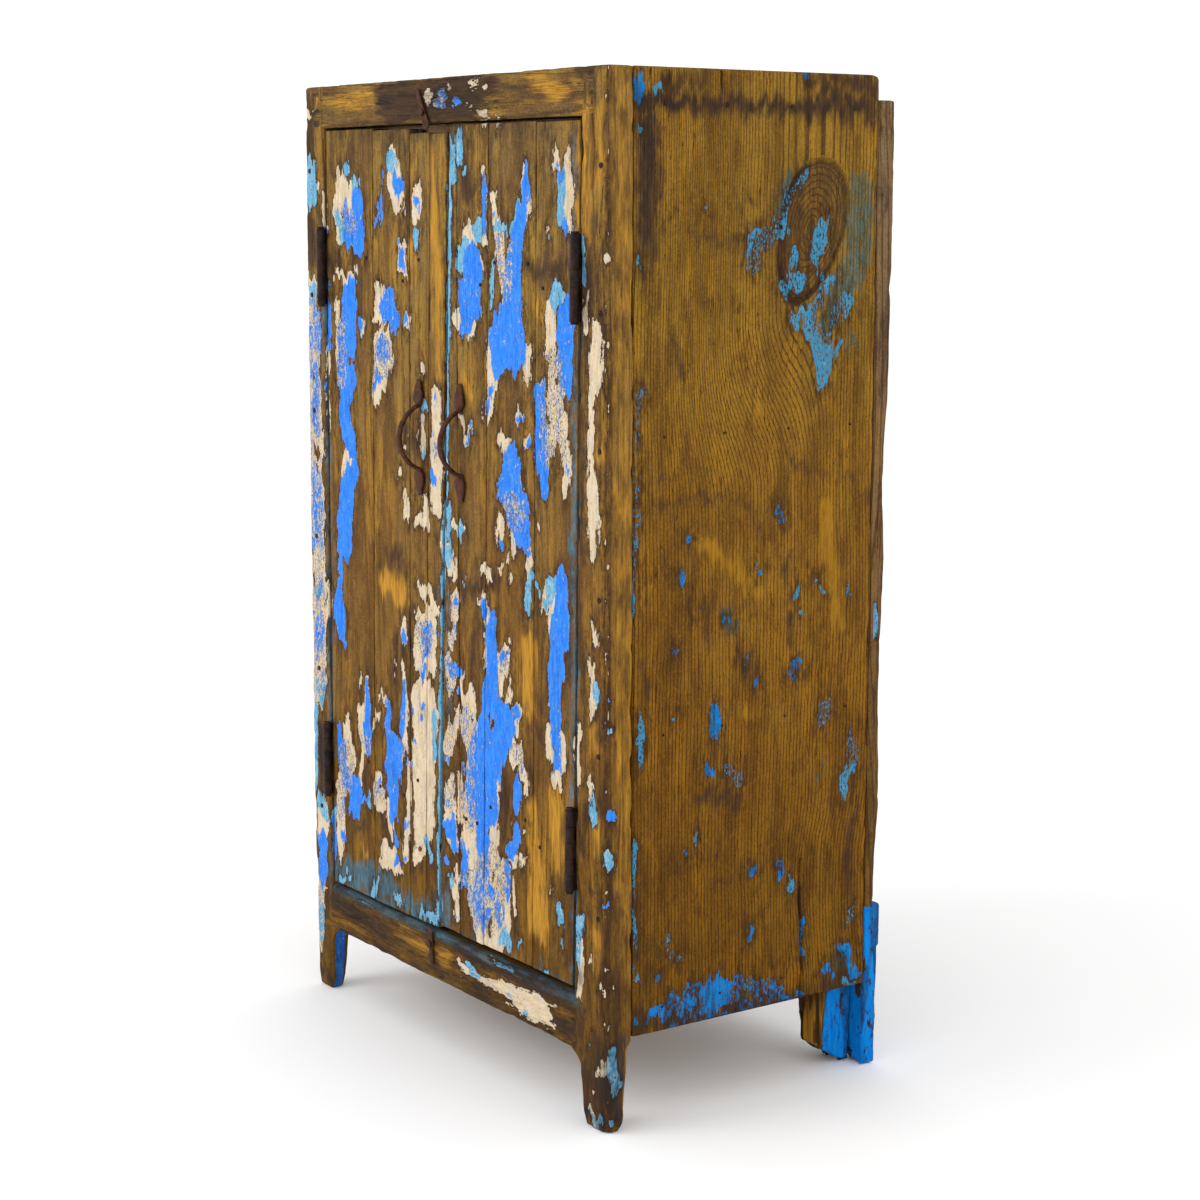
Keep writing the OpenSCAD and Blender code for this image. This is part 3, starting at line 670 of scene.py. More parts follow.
door_wood = painted_wood("aged_blue_door_paint", HONEY, AMBER, UMBER, GOLD, SMOKE, 7.0, 0.6)
frame_wood = painted_wood("worn_frame_wood", HONEY, AMBER, UMBER, GOLD, SMOKE, 6.0, 0.8)
side_wood = painted_wood(
    "oiled_side_wood", OAK, (0.195, 0.093, 0.007), (0.100, 0.044, 0.005), (0.35, 0.165, 0.010),
    (0.045, 0.020, 0.006), 4.6, 1.2, thin=0.35, strong=AZURE, creamed=False)
back_wood = painted_wood(
    "weathered_back_wood", (0.21, 0.125, 0.045), (0.13, 0.072, 0.025), (0.07, 0.036, 0.014),
    (0.26, 0.14, 0.035), SMOKE, 6.0, 1.0)
inner_wood = painted_wood(
    "dry_inner_wood", (0.36, 0.22, 0.095), (0.26, 0.15, 0.06), (0.14, 0.072, 0.028),
    (0.42, 0.25, 0.09), (0.09, 0.05, 0.025), 6.0, 0.8)
foot_wood = painted_wood(
    "rotten_foot_wood", (0.25, 0.125, 0.020), (0.12, 0.054, 0.010), UMBER, (0.46, 0.22, 0.02),
    SMOKE, 5.0, 1.0, strong=AZURE_DEEP, creamed=False)
black_iron = iron("black_iron", (0.018, 0.013, 0.013), (0.040, 0.024, 0.019), (0.085, 0.032, 0.014), 0.2)
rusty_iron = iron("rusty_iron", (0.040, 0.020, 0.015), (0.075, 0.033, 0.020), (0.150, 0.052, 0.022), 0.8)


# ---------------------------------------------------------------- where the paint is left

# Every patch of paint is a chain of (across, up, half width) strokes, in mm in the CAD's frame.
# cream, sky and blue are the three coats and bare cuts holes in them; speck is where they
# crumble, soot_and_shade and dirt_and_shade are dark stains that carry painted shadow in places,
# glow is bright wood and haze a thin blue-green film.
FRONT = {
    "cream": [
        # left post and the gap beside it
        [(-294, 1070, 6)], [(-272, 979, 4)],
        [(-293, 868, 14), (-292, 700, 20), (-292, 560, 21), (-293, 400, 20), (-296, 372, 13)],
        [(-303, 350, 5), (-304, 260, 4)], [(-288, 238, 13), (-290, 200, 15)],
        [(-299, 130, 11), (-301, 60, 9)], [(-258, 977, 3), (-257, 935, 4)],
        [(-257, 800, 4), (-257, 765, 3)], [(-257, 745, 3), (-258, 700, 3)],
        # left door, first plank
        [(-226, 1002, 5), (-230, 960, 10), (-220, 930, 13)],
        [(-214, 985, 12), (-195, 960, 24), (-188, 930, 20)],
        [(-235, 884, 3), (-210, 884, 10), (-190, 882, 5)],
        [(-229, 850, 8), (-232, 800, 5), (-233, 760, 5)], [(-202, 845, 12), (-205, 820, 10)],
        [(-176, 824, 7)], [(-212, 655, 20)], [(-264, 518, 3), (-262, 490, 7), (-266, 468, 4)],
        [(-238, 522, 6)], [(-234, 345, 4), (-232, 325, 5)],
        [(-228, 360, 3), (-223, 330, 8), (-218, 300, 13), (-240, 270, 16)],
        [(-245, 255, 10), (-246, 215, 12), (-248, 190, 9), (-250, 177, 4)],
        [(-194, 409, 4), (-186, 412, 2)],
        [(-176, 412, 5), (-176, 390, 7), (-186, 368, 14), (-183, 335, 13)],
        [(-190, 320, 6), (-193, 300, 5), (-196, 285, 4)],
        # left door, middle planks
        [(-101, 1020, 9), (-99, 995, 16), (-92, 970, 13)], [(-84, 955, 4)],
        [(-135, 872, 7), (-128, 850, 22)], [(-108, 838, 15)],
        [(-48, 983, 4), (-49, 965, 11), (-56, 945, 6)], [(-83, 915, 9), (-83, 896, 9)], [(-77, 833, 8)],
        [(-128, 800, 25), (-140, 770, 16), (-146, 742, 10)], [(-44, 781, 5)], [(-84, 697, 3)],
        [(-77, 712, 2)], [(-57, 706, 3)], [(-43, 725, 5), (-43, 690, 5)], [(-95, 660, 5)],
        [(-81, 645, 5), (-82, 612, 5)], [(-66, 646, 2)], [(-60, 615, 5), (-40, 612, 8), (-40, 645, 4)],
        [(-15, 755, 9), (-16, 700, 13), (-18, 660, 11), (-16, 625, 9)],
        [(-163, 356, 3), (-152, 376, 4)], [(-153, 298, 6), (-153, 278, 15), (-150, 262, 12)],
        [(-147, 399, 3), (-134, 384, 6)], [(-94, 444, 4), (-92, 425, 5), (-93, 380, 7), (-91, 340, 6)],
        [(-112, 310, 9)], [(-131, 270, 7), (-130, 250, 7), (-124, 240, 6)],
        [(-146, 216, 6), (-130, 206, 18)], [(-150, 196, 4), (-140, 194, 7), (-112, 193, 7)],
        [(-89, 492, 4), (-90, 476, 9)], [(-105, 463, 2)], [(-112, 442, 3)], [(-112, 422, 3)],
        [(-68, 507, 2)], [(-83, 325, 4), (-84, 280, 5), (-90, 245, 8), (-94, 205, 6)], [(-106, 190, 5)],
        # left door, last plank
        [(-55, 535, 7), (-35, 536, 8), (-22, 518, 9)], [(-60, 500, 6), (-40, 495, 21), (-45, 455, 24)],
        [(-46, 400, 29), (-50, 340, 26), (-52, 270, 22), (-60, 230, 14), (-68, 208, 6)],
        # top rail
        [(-26, 1082, 8)], [(19, 1090, 3)], [(30, 1073, 4)], [(63, 1090, 2), (78, 1090, 3)],
        [(96, 1085, 3)], [(78, 1058, 4), (92, 1056, 4)], [(115, 1055, 5)], [(50, 1068, 2)],
        [(61, 1065, 2)],
        # right door, upper planks
        [(58, 928, 16)], [(58, 832, 10), (30, 846, 8)], [(70, 900, 14)], [(86, 925, 5), (87, 1000, 4)],
        [(103, 975, 6), (112, 940, 10), (118, 900, 10)],
        [(117, 845, 10), (104, 815, 14), (98, 770, 9), (90, 735, 5)], [(165, 1000, 4), (165, 955, 11)],
        [(164, 815, 10), (164, 785, 7)], [(130, 890, 14)], [(218, 1020, 3), (222, 1000, 7)],
        [(241, 1018, 4), (240, 970, 13), (238, 945, 9)], [(213, 870, 8), (210, 845, 10), (207, 815, 9)],
        [(222, 790, 20), (214, 745, 12), (206, 700, 9)], [(229, 745, 12), (236, 700, 8), (236, 675, 4)],
        [(151, 742, 7)], [(166, 722, 9)], [(124, 712, 11)],
        [(140, 690, 12), (145, 650, 20), (152, 622, 16)], [(139, 612, 6), (139, 600, 4)],
        [(112, 622, 9)], [(187, 633, 4)], [(110, 578, 4), (130, 592, 3)],
        [(168, 600, 5), (166, 565, 4)], [(35, 738, 4), (42, 718, 5)], [(56, 724, 5)], [(48, 711, 7)],
        [(22, 612, 8), (40, 610, 5)], [(0, 590, 10), (12, 570, 10)], [(206, 937, 3)],
        # right door, first plank
        [(22, 570, 5), (22, 555, 5)], [(20, 535, 8), (16, 505, 8), (12, 485, 9)],
        [(8, 460, 9), (12, 440, 10)], [(34, 450, 4), (33, 425, 5)], [(6, 425, 6)],
        [(24, 402, 5), (14, 385, 13), (4, 365, 12)], [(8, 318, 9), (0, 300, 8)],
        [(5, 290, 12), (10, 250, 12)], [(18, 225, 6), (18, 195, 6), (20, 165, 3)],
        # right door, the two middle planks
        [(68, 532, 4), (80, 540, 4), (88, 520, 6)], [(84, 500, 4), (82, 470, 6)],
        [(128, 500, 3), (120, 488, 6)], [(118, 475, 14), (118, 455, 14), (128, 440, 9)],
        [(145, 430, 9), (140, 412, 10)], [(50, 436, 4), (48, 415, 13), (45, 385, 16)],
        [(140, 380, 14), (152, 365, 8), (162, 365, 5), (160, 338, 3)],
        [(100, 335, 14), (95, 300, 9), (97, 275, 10)], [(28, 330, 6), (28, 280, 6)],
        [(60, 300, 26), (55, 250, 26), (100, 240, 22)], [(75, 200, 36), (85, 172, 34), (72, 156, 10)],
        [(105, 225, 24), (115, 190, 16)], [(150, 266, 6), (156, 256, 4)], [(135, 262, 10)],
        [(136, 240, 3), (135, 200, 3)], [(144, 320, 3)], [(100, 158, 8), (120, 160, 8)],
        # right door, the paint by its edge
        [(198, 549, 7), (212, 572, 10)], [(218, 560, 14), (214, 530, 12)],
        [(205, 415, 9), (206, 395, 9)], [(228, 415, 8), (226, 385, 8)], [(217, 372, 10), (222, 362, 7)],
        [(212, 445, 9)], [(82, 574, 8), (92, 566, 5), (92, 557, 3)], [(132, 572, 4)], [(112, 577, 4)],
        [(158, 301, 4)], [(206, 241, 3)],
        # bottom rail
        [(20, 114, 3), (36, 108, 6), (60, 107, 5), (80, 105, 5), (100, 108, 8), (130, 106, 12),
         (155, 102, 16), (176, 103, 17), (195, 104, 11), (205, 95, 6), (213, 90, 3)],
        [(196, 111, 5), (213, 116, 2)],
        # right post
        [(292, 842, 7), (292, 800, 13), (284, 760, 6), (282, 720, 5), (284, 680, 11), (288, 655, 11),
         (284, 615, 6)],
        [(274, 870, 4), (272, 845, 3)], [(307, 911, 3)],
        [(262, 423, 4), (256, 402, 5), (259, 385, 6), (262, 368, 4)],
        [(284, 538, 3), (290, 530, 5), (294, 522, 3)],
        [(280, 500, 4), (285, 485, 6), (285, 465, 5), (284, 454, 3)], [(280, 376, 4), (285, 366, 6)],
        [(263, 190, 6), (264, 165, 5), (261, 145, 4)], [(279, 184, 4)], [(289, 260, 3)],
        [(303, 155, 3)], [(306, 126, 3)], [(303, 84, 3), (302, 70, 5)], [(294, 76, 3), (295, 66, 3)],
        [(287, 50, 3)], [(283, 16, 6), (290, 8, 5)],
    ],
    "sky": [
        [(-289, 1006, 12), (-290, 973, 14)], [(-291, 862, 12)], [(-303, 352, 6), (-305, 262, 5)],
        [(-290, 238, 12), (-284, 222, 9)], [(-299, 104, 10), (-300, 66, 9)], [(-290, 505, 9)],
        [(-290, 378, 12)], [(-225, 945, 10), (-212, 925, 12)], [(-203, 1001, 7)], [(-185, 986, 10)],
        [(-262, 230, 7), (-263, 180, 6)], [(-104, 1012, 12)], [(-40, 738, 6)], [(-44, 690, 4)],
        [(-53, 932, 8)], [(-178, 262, 6), (-176, 252, 4)], [(15, 985, 5), (14, 900, 4), (13, 830, 4)],
        [(22, 1030, 6), (23, 990, 5)], [(38, 1040, 7), (36, 1012, 8)], [(47, 1004, 4)],
        [(45, 918, 12), (38, 895, 8)], [(72, 936, 12)], [(101, 905, 3), (101, 855, 3)],
        [(110, 944, 9), (128, 940, 5)], [(140, 942, 5), (156, 965, 6)], [(222, 874, 13)],
        [(210, 930, 3)], [(228, 1000, 6), (230, 950, 8)], [(11, 632, 6), (10, 608, 6)], [(33, 610, 9)],
        [(6, 585, 10)], [(6, 572, 6)], [(175, 580, 5), (165, 560, 6), (165, 540, 5), (171, 527, 2)],
        [(180, 563, 3), (187, 558, 3)], [(212, 575, 10), (206, 555, 6)], [(198, 548, 5)],
        [(41, 560, 4)], [(45, 111, 9), (60, 109, 4)], [(222, 226, 5), (227, 212, 5)], [(228, 185, 4)],
        [(118, 165, 12)], [(5, 205, 8)], [(146, 170, 3)], [(262, 225, 7), (260, 180, 5)],
        [(268, 925, 5), (268, 890, 6)], [(305, 305, 3), (306, 292, 3)], [(293, 476, 6), (288, 464, 4)],
        [(286, 355, 6), (284, 338, 4)], [(277, 85, 3)], [(284, 14, 5), (296, 10, 5)], [(309, 433, 3)],
        [(-28, 395, 5), (-26, 345, 5)], [(-45, 235, 6), (-38, 222, 6)], [(128, 100, 4)], [(150, 92, 4)],
        [(12, 830, 3.5), (8, 740, 3.5), (2, 640, 3.5), (-5, 540, 4), (-12, 400, 4), (-18, 250, 4),
         (-21, 160, 5)],
        [(-250, 150, 4), (-225, 158, 5)], [(-170, 150, 5), (-160, 168, 4)],
        [(-120, 152, 5), (-105, 150, 5)], [(-60, 150, 5), (-30, 150, 6)], [(20, 138, 4), (60, 138, 4)],
        [(150, 138, 3), (180, 138, 4)], [(200, 147, 5)],
    ],
    "blue": [
        [(-281, 840, 9), (-281, 800, 11)], [(-283, 770, 9), (-287, 745, 9), (-290, 700, 11)],
        [(-283, 500, 9)], [(-298, 820, 5), (-299, 770, 5)], [(-300, 600, 5), (-300, 560, 5)],
        [(-290, 640, 12), (-287, 600, 13), (-283, 555, 7)], [(-284, 510, 6)],
        [(-290, 458, 14), (-296, 430, 10)], [(-308, 388, 3)],
        [(-290, 188, 11), (-291, 160, 12), (-293, 140, 9)], [(-281, 395, 5)], [(-257, 931, 4)],
        [(-254, 870, 5), (-254, 805, 5)], [(-261, 757, 5)], [(-184, 966, 17), (-184, 925, 17)],
        [(-208, 958, 10), (-205, 925, 14)],
        [(-205, 873, 14), (-203, 850, 17), (-212, 810, 19), (-214, 765, 21), (-220, 725, 14),
         (-216, 705, 14), (-205, 680, 13), (-196, 664, 8), (-206, 650, 12), (-216, 635, 18),
         (-220, 600, 17), (-225, 565, 19), (-235, 545, 7), (-238, 525, 5), (-241, 500, 12),
         (-240, 480, 13), (-234, 460, 12), (-230, 442, 6)],
        [(-180, 825, 6)], [(-246, 340, 6), (-243, 310, 9), (-238, 290, 10)],
        [(-232, 275, 12), (-208, 268, 17), (-212, 240, 12)], [(-195, 262, 7), (-178, 262, 4)],
        [(-238, 236, 6)], [(-238, 208, 5), (-241, 200, 4)],
        [(-176, 410, 4), (-176, 390, 6), (-180, 355, 12), (-176, 320, 6)],
        [(-264, 218, 6), (-263, 180, 6)], [(-124, 998, 3), (-131, 955, 3)],
        [(-144, 947, 4), (-122, 947, 3)], [(-92, 985, 13)], [(-49, 965, 7)],
        [(-84, 915, 6), (-84, 897, 6)], [(-118, 850, 19), (-106, 835, 14)], [(-128, 800, 18)],
        [(-144, 765, 10)], [(-79, 833, 6)], [(-24, 665, 9)], [(-25, 715, 4)], [(-18, 748, 4)],
        [(-12, 700, 5)], [(-153, 285, 8)], [(-131, 382, 7), (-131, 350, 7)],
        [(-92, 425, 4), (-96, 392, 6), (-98, 360, 7)], [(-115, 335, 21), (-118, 310, 20)],
        [(-122, 290, 13), (-120, 260, 10)], [(-114, 226, 7)], [(-114, 202, 7)], [(-90, 473, 6)],
        [(-92, 252, 6)], [(-96, 206, 4)], [(-86, 325, 4)], [(-40, 490, 12), (-44, 462, 10)],
        [(-19, 485, 5)], [(-48, 440, 9)], [(-52, 402, 5)], [(-74, 386, 4)], [(-52, 385, 3)],
        [(-71, 361, 5)], [(-78, 325, 4)], [(2, 1077, 12)], [(33, 1073, 7)],
        [(62, 900, 20), (56, 860, 24), (46, 838, 13)], [(86, 990, 5), (86, 935, 5)], [(103, 965, 4)],
        [(168, 1008, 3), (167, 975, 8), (152, 940, 12), (140, 900, 15), (138, 860, 20),
         (130, 822, 36), (108, 795, 12)],
        [(97, 770, 6), (88, 745, 3)], [(226, 999, 7)], [(235, 940, 6)],
        [(238, 850, 18), (235, 812, 16), (238, 780, 12)],
        [(190, 775, 9), (189, 740, 10), (194, 700, 12), (197, 668, 7)], [(236, 700, 5)],
        [(152, 740, 6)], [(168, 720, 7)],
        [(136, 695, 16), (133, 665, 26), (148, 645, 22), (155, 618, 17)], [(166, 595, 4)],
        [(113, 608, 5)], [(56, 725, 4)], [(50, 710, 5)], [(20, 525, 6)], [(22, 493, 4)],
        [(12, 453, 10), (26, 452, 8)], [(0, 350, 6)], [(26, 425, 5)], [(80, 530, 8)],
        [(95, 525, 7), (94, 490, 11), (92, 460, 13), (90, 435, 20), (105, 405, 33), (85, 375, 33),
         (70, 340, 36), (72, 305, 32)],
        [(142, 425, 10)], [(120, 480, 9)], [(142, 345, 8), (142, 322, 7)],
        [(141, 300, 7), (137, 280, 8), (130, 266, 9)], [(73, 270, 14), (75, 235, 11), (70, 215, 14)],
        [(35, 250, 8), (36, 215, 8)], [(5, 270, 13), (12, 247, 8)], [(0, 300, 6)],
        [(124, 240, 10), (122, 218, 7)], [(55, 195, 14), (75, 180, 14)], [(105, 195, 12), (90, 210, 8)],
        [(18, 170, 3)], [(-4, 225, 5)],
        [(230, 580, 13), (226, 545, 15), (222, 510, 17), (217, 475, 14), (216, 440, 12),
         (217, 400, 8), (219, 380, 7)],
        [(310, 345, 4)], [(305, 245, 4)], [(309, 470, 2)],
    ],
    "speck": [
        [(-292, 845, 20), (-292, 370, 20)], [(-300, 130, 14), (-302, 60, 12)], [(-205, 945, 20)],
        [(-225, 840, 12), (-225, 760, 12)], [(-130, 790, 30)], [(-230, 300, 22), (-245, 230, 12)],
        [(-180, 330, 16)], [(-153, 275, 16)], [(-45, 480, 24)], [(-90, 330, 12)], [(-15, 700, 14)],
        [(120, 920, 20), (125, 880, 16)], [(212, 800, 24), (215, 720, 26)], [(140, 640, 26)],
        [(0, 1078, 30)], [(45, 400, 20), (40, 340, 18), (45, 290, 20)], [(70, 200, 45), (100, 240, 30)],
        [(10, 540, 14), (8, 300, 14)], [(150, 380, 18)], [(120, 470, 14)], [(285, 360, 12)],
        [(262, 200, 12)],
    ],
    "bare": [
        [(-304, 784, 3)], [(-289, 753, 3)], [(-305, 665, 4)], [(-287, 669, 7)], [(-288, 652, 3)],
        [(-303, 552, 3), (-303, 546, 2)], [(-301, 518, 3), (-301, 508, 3)], [(-308, 435, 3)],
        [(-284, 340, 8), (-284, 265, 8)], [(-203, 785, 5)], [(-188, 290, 5), (-185, 272, 5)],
        [(-106, 302, 3), (-103, 286, 4)], [(-92, 268, 3), (-110, 243, 4), (-130, 219, 3)],
        [(-56, 517, 3)], [(-68, 233, 2), (-62, 233, 3)], [(-82, 420, 3)],
        [(65, 485, 14), (60, 455, 12)], [(10, 405, 5), (14, 396, 6)], [(123, 455, 4), (120, 440, 4)],
        [(97, 414, 3), (92, 406, 3)], [(12, 345, 4), (8, 330, 3)], [(118, 352, 8), (118, 300, 11)],
        [(145, 259, 4)], [(94, 228, 2)], [(32, 190, 6), (30, 178, 4)], [(25, 265, 1.5), (26, 200, 1.5)],
        [(89, 185, 1.5), (86, 160, 1.5)], [(130, 780, 12), (135, 762, 16)], [(221, 786, 4)],
        [(206, 742, 3)], [(145, 697, 2)], [(215, 700, 4), (216, 672, 6)], [(155, 816, 2)],
        [(52, 402, 2)], [(22, 425, 3)], [(16, 505, 3)], [(108, 318, 3)], [(-92, 640, 3)],
    ],
    "soot_and_shade": [
        [(287, 1098, 5), (286, 1050, 5), (285, 985, 3)], [(266, 1096, 6), (306, 1096, 6)],
        [(292, 960, 3), (292, 935, 4)], [(268, 900, 12), (280, 886, 12), (272, 854, 10)],
        [(296, 905, 5), (302, 850, 5)], [(290, 1003, 3)],
        [(-110, 1078, 26), (-10, 1076, 26), (60, 1078, 24), (100, 1087, 14)],
        [(-290, 1085, 14), (-290, 1035, 10)], [(-290, 940, 14), (-290, 905, 14)],
        [(-250, 898, 8), (-165, 898, 8)], [(162, 900, 8), (245, 900, 8)], [(-230, 910, 9)],
        [(-287, 330, 10), (-287, 280, 8)], [(-70, 1010, 4), (-68, 930, 4)],
        # round the left handle: painted shadow of the handle together with a dark stain
        [(-45, 760, 6), (-52, 680, 8)], [(-75, 730, 4), (-85, 690, 6)],
        [(-120, 560, 8), (-100, 566, 10)], [(-143, 552, 2), (-60, 553, 2)],
        [(-108, 470, 6), (-110, 420, 10)], [(-76, 510, 5), (-74, 460, 6)],
        [(-212, 222, 8), (-188, 225, 8)], [(-150, 248, 6), (-140, 240, 6)], [(-185, 290, 8)],
        [(58, 980, 12), (50, 1000, 8)], [(130, 983, 4)], [(187, 1030, 2), (187, 965, 3)],
        [(203, 1050, 2), (203, 1027, 2)], [(100, 560, 10), (40, 545, 8)], [(55, 500, 6), (50, 430, 4)],
        [(187, 455, 3), (188, 440, 4)], [(118, 350, 10), (115, 290, 8)], [(128, 215, 3), (126, 195, 5)],
        [(140, 190, 5), (132, 165, 4)], [(180, 410, 5), (196, 400, 5)],
        [(-268, 120, 12), (-200, 112, 10), (-140, 104, 8)], [(-40, 128, 9), (-30, 96, 8)],
        [(10, 128, 6), (90, 126, 7), (240, 128, 8)], [(215, 100, 10), (250, 92, 10)],
        [(-250, 84, 6), (-60, 84, 5)], [(40, 86, 5), (230, 84, 6)], [(296, 60, 5), (300, 12, 8)],
        [(270, 15, 14), (300, 8, 12)], [(290, 100, 10), (292, 40, 14)], [(301, 952, 6)],
        [(270, 340, 8), (268, 300, 6)], [(300, 560, 3), (304, 520, 3)], [(262, 125, 12), (258, 105, 8)],
        [(304, 220, 3), (306, 100, 3)], [(60, 92, 4), (130, 82, 4)], [(270, 60, 8), (275, 20, 10)],
        [(309, 1090, 3), (310, 700, 2)], [(308, 640, 3), (309, 300, 3)],
        [(275, 1050, 2), (268, 800, 2), (262, 500, 2)],
    ],
    "dirt_and_shade": [
        [(306, 84, 9), (307, 40, 11)], [(300, 12, 10), (270, 12, 8)], [(-300, 20, 10), (-280, 10, 10)],
        # (-60, 700) lies on the left handle: painted shadow of the handle together with a stain
        [(0, 1078, 20)], [(-60, 700, 12)], [(269, 905, 5), (274, 860, 5)],
        [(-290, 330, 8), (-290, 250, 8)], [(262, 160, 8)],
    ],
    "glow": [
        [(271, 1050, 14), (271, 940, 14)], [(294, 1060, 8), (297, 985, 8)],
        [(-20, 1020, 8), (-10, 900, 10), (-5, 780, 6)], [(-60, 1020, 6), (-62, 880, 5)],
        [(-130, 535, 16), (-90, 525, 12)], [(170, 320, 14), (185, 200, 20)],
        [(215, 345, 14), (222, 270, 8)], [(165, 500, 14), (165, 440, 12)],
        [(-110, 118, 4), (-60, 114, 7), (0, 106, 9)], [(288, 440, 5), (290, 410, 8)],
        [(292, 210, 8), (290, 180, 6)], [(298, 721, 9)], [(292, 340, 8), (290, 300, 6)],
        [(40, 770, 8), (60, 760, 6)], [(190, 860, 10)], [(-190, 195, 6)], [(-30, 190, 5)],
        [(180, 1090, 8), (230, 1075, 8)], [(-220, 1080, 8), (-150, 1085, 8)],
    ],
    "haze": [
        [(-255, 158, 14), (-230, 162, 17), (-150, 166, 20), (-120, 160, 14)], [(-150, 160, 12)],
        [(-100, 156, 13), (-45, 155, 13)], [(-262, 900, 4), (-262, 620, 4), (-263, 300, 5)],
        [(251, 1030, 4), (251, 900, 4)], [(250, 860, 4), (250, 560, 5), (250, 260, 5)],
        [(-20, 180, 10), (-8, 160, 8)], [(-5, 190, 8), (0, 155, 8)], [(-20, 140, 9), (250, 138, 9)],
        [(-262, 138, 6), (-120, 138, 6)], [(-262, 235, 8), (-264, 160, 8)],
        [(252, 260, 4), (250, 150, 4)], [(7, 600, 4), (5, 400, 4)],
        [(-9, 560, 3), (-15, 350, 3), (-20, 200, 3)],
    ],
}

# The side face of the right post, as (y, z, half width) chains with y from the front of the post.
POST_SIDE = {
    "soot_and_shade": [[(14, 260, 3), (12, 150, 7), (12, 20, 14)], [(24, 1085, 5)], [(26, 520, 3), (24, 470, 3)]],
    "haze": [[(12, 96, 5), (14, 60, 7)], [(14, 22, 9)]],
    "sky": [[(6, 92, 3), (9, 70, 6), (12, 48, 5)], [(4, 18, 3), (6, 8, 3)]],
    "dirt_and_shade": [[(8, 96, 7), (12, 50, 9)], [(12, 20, 10)]],
}

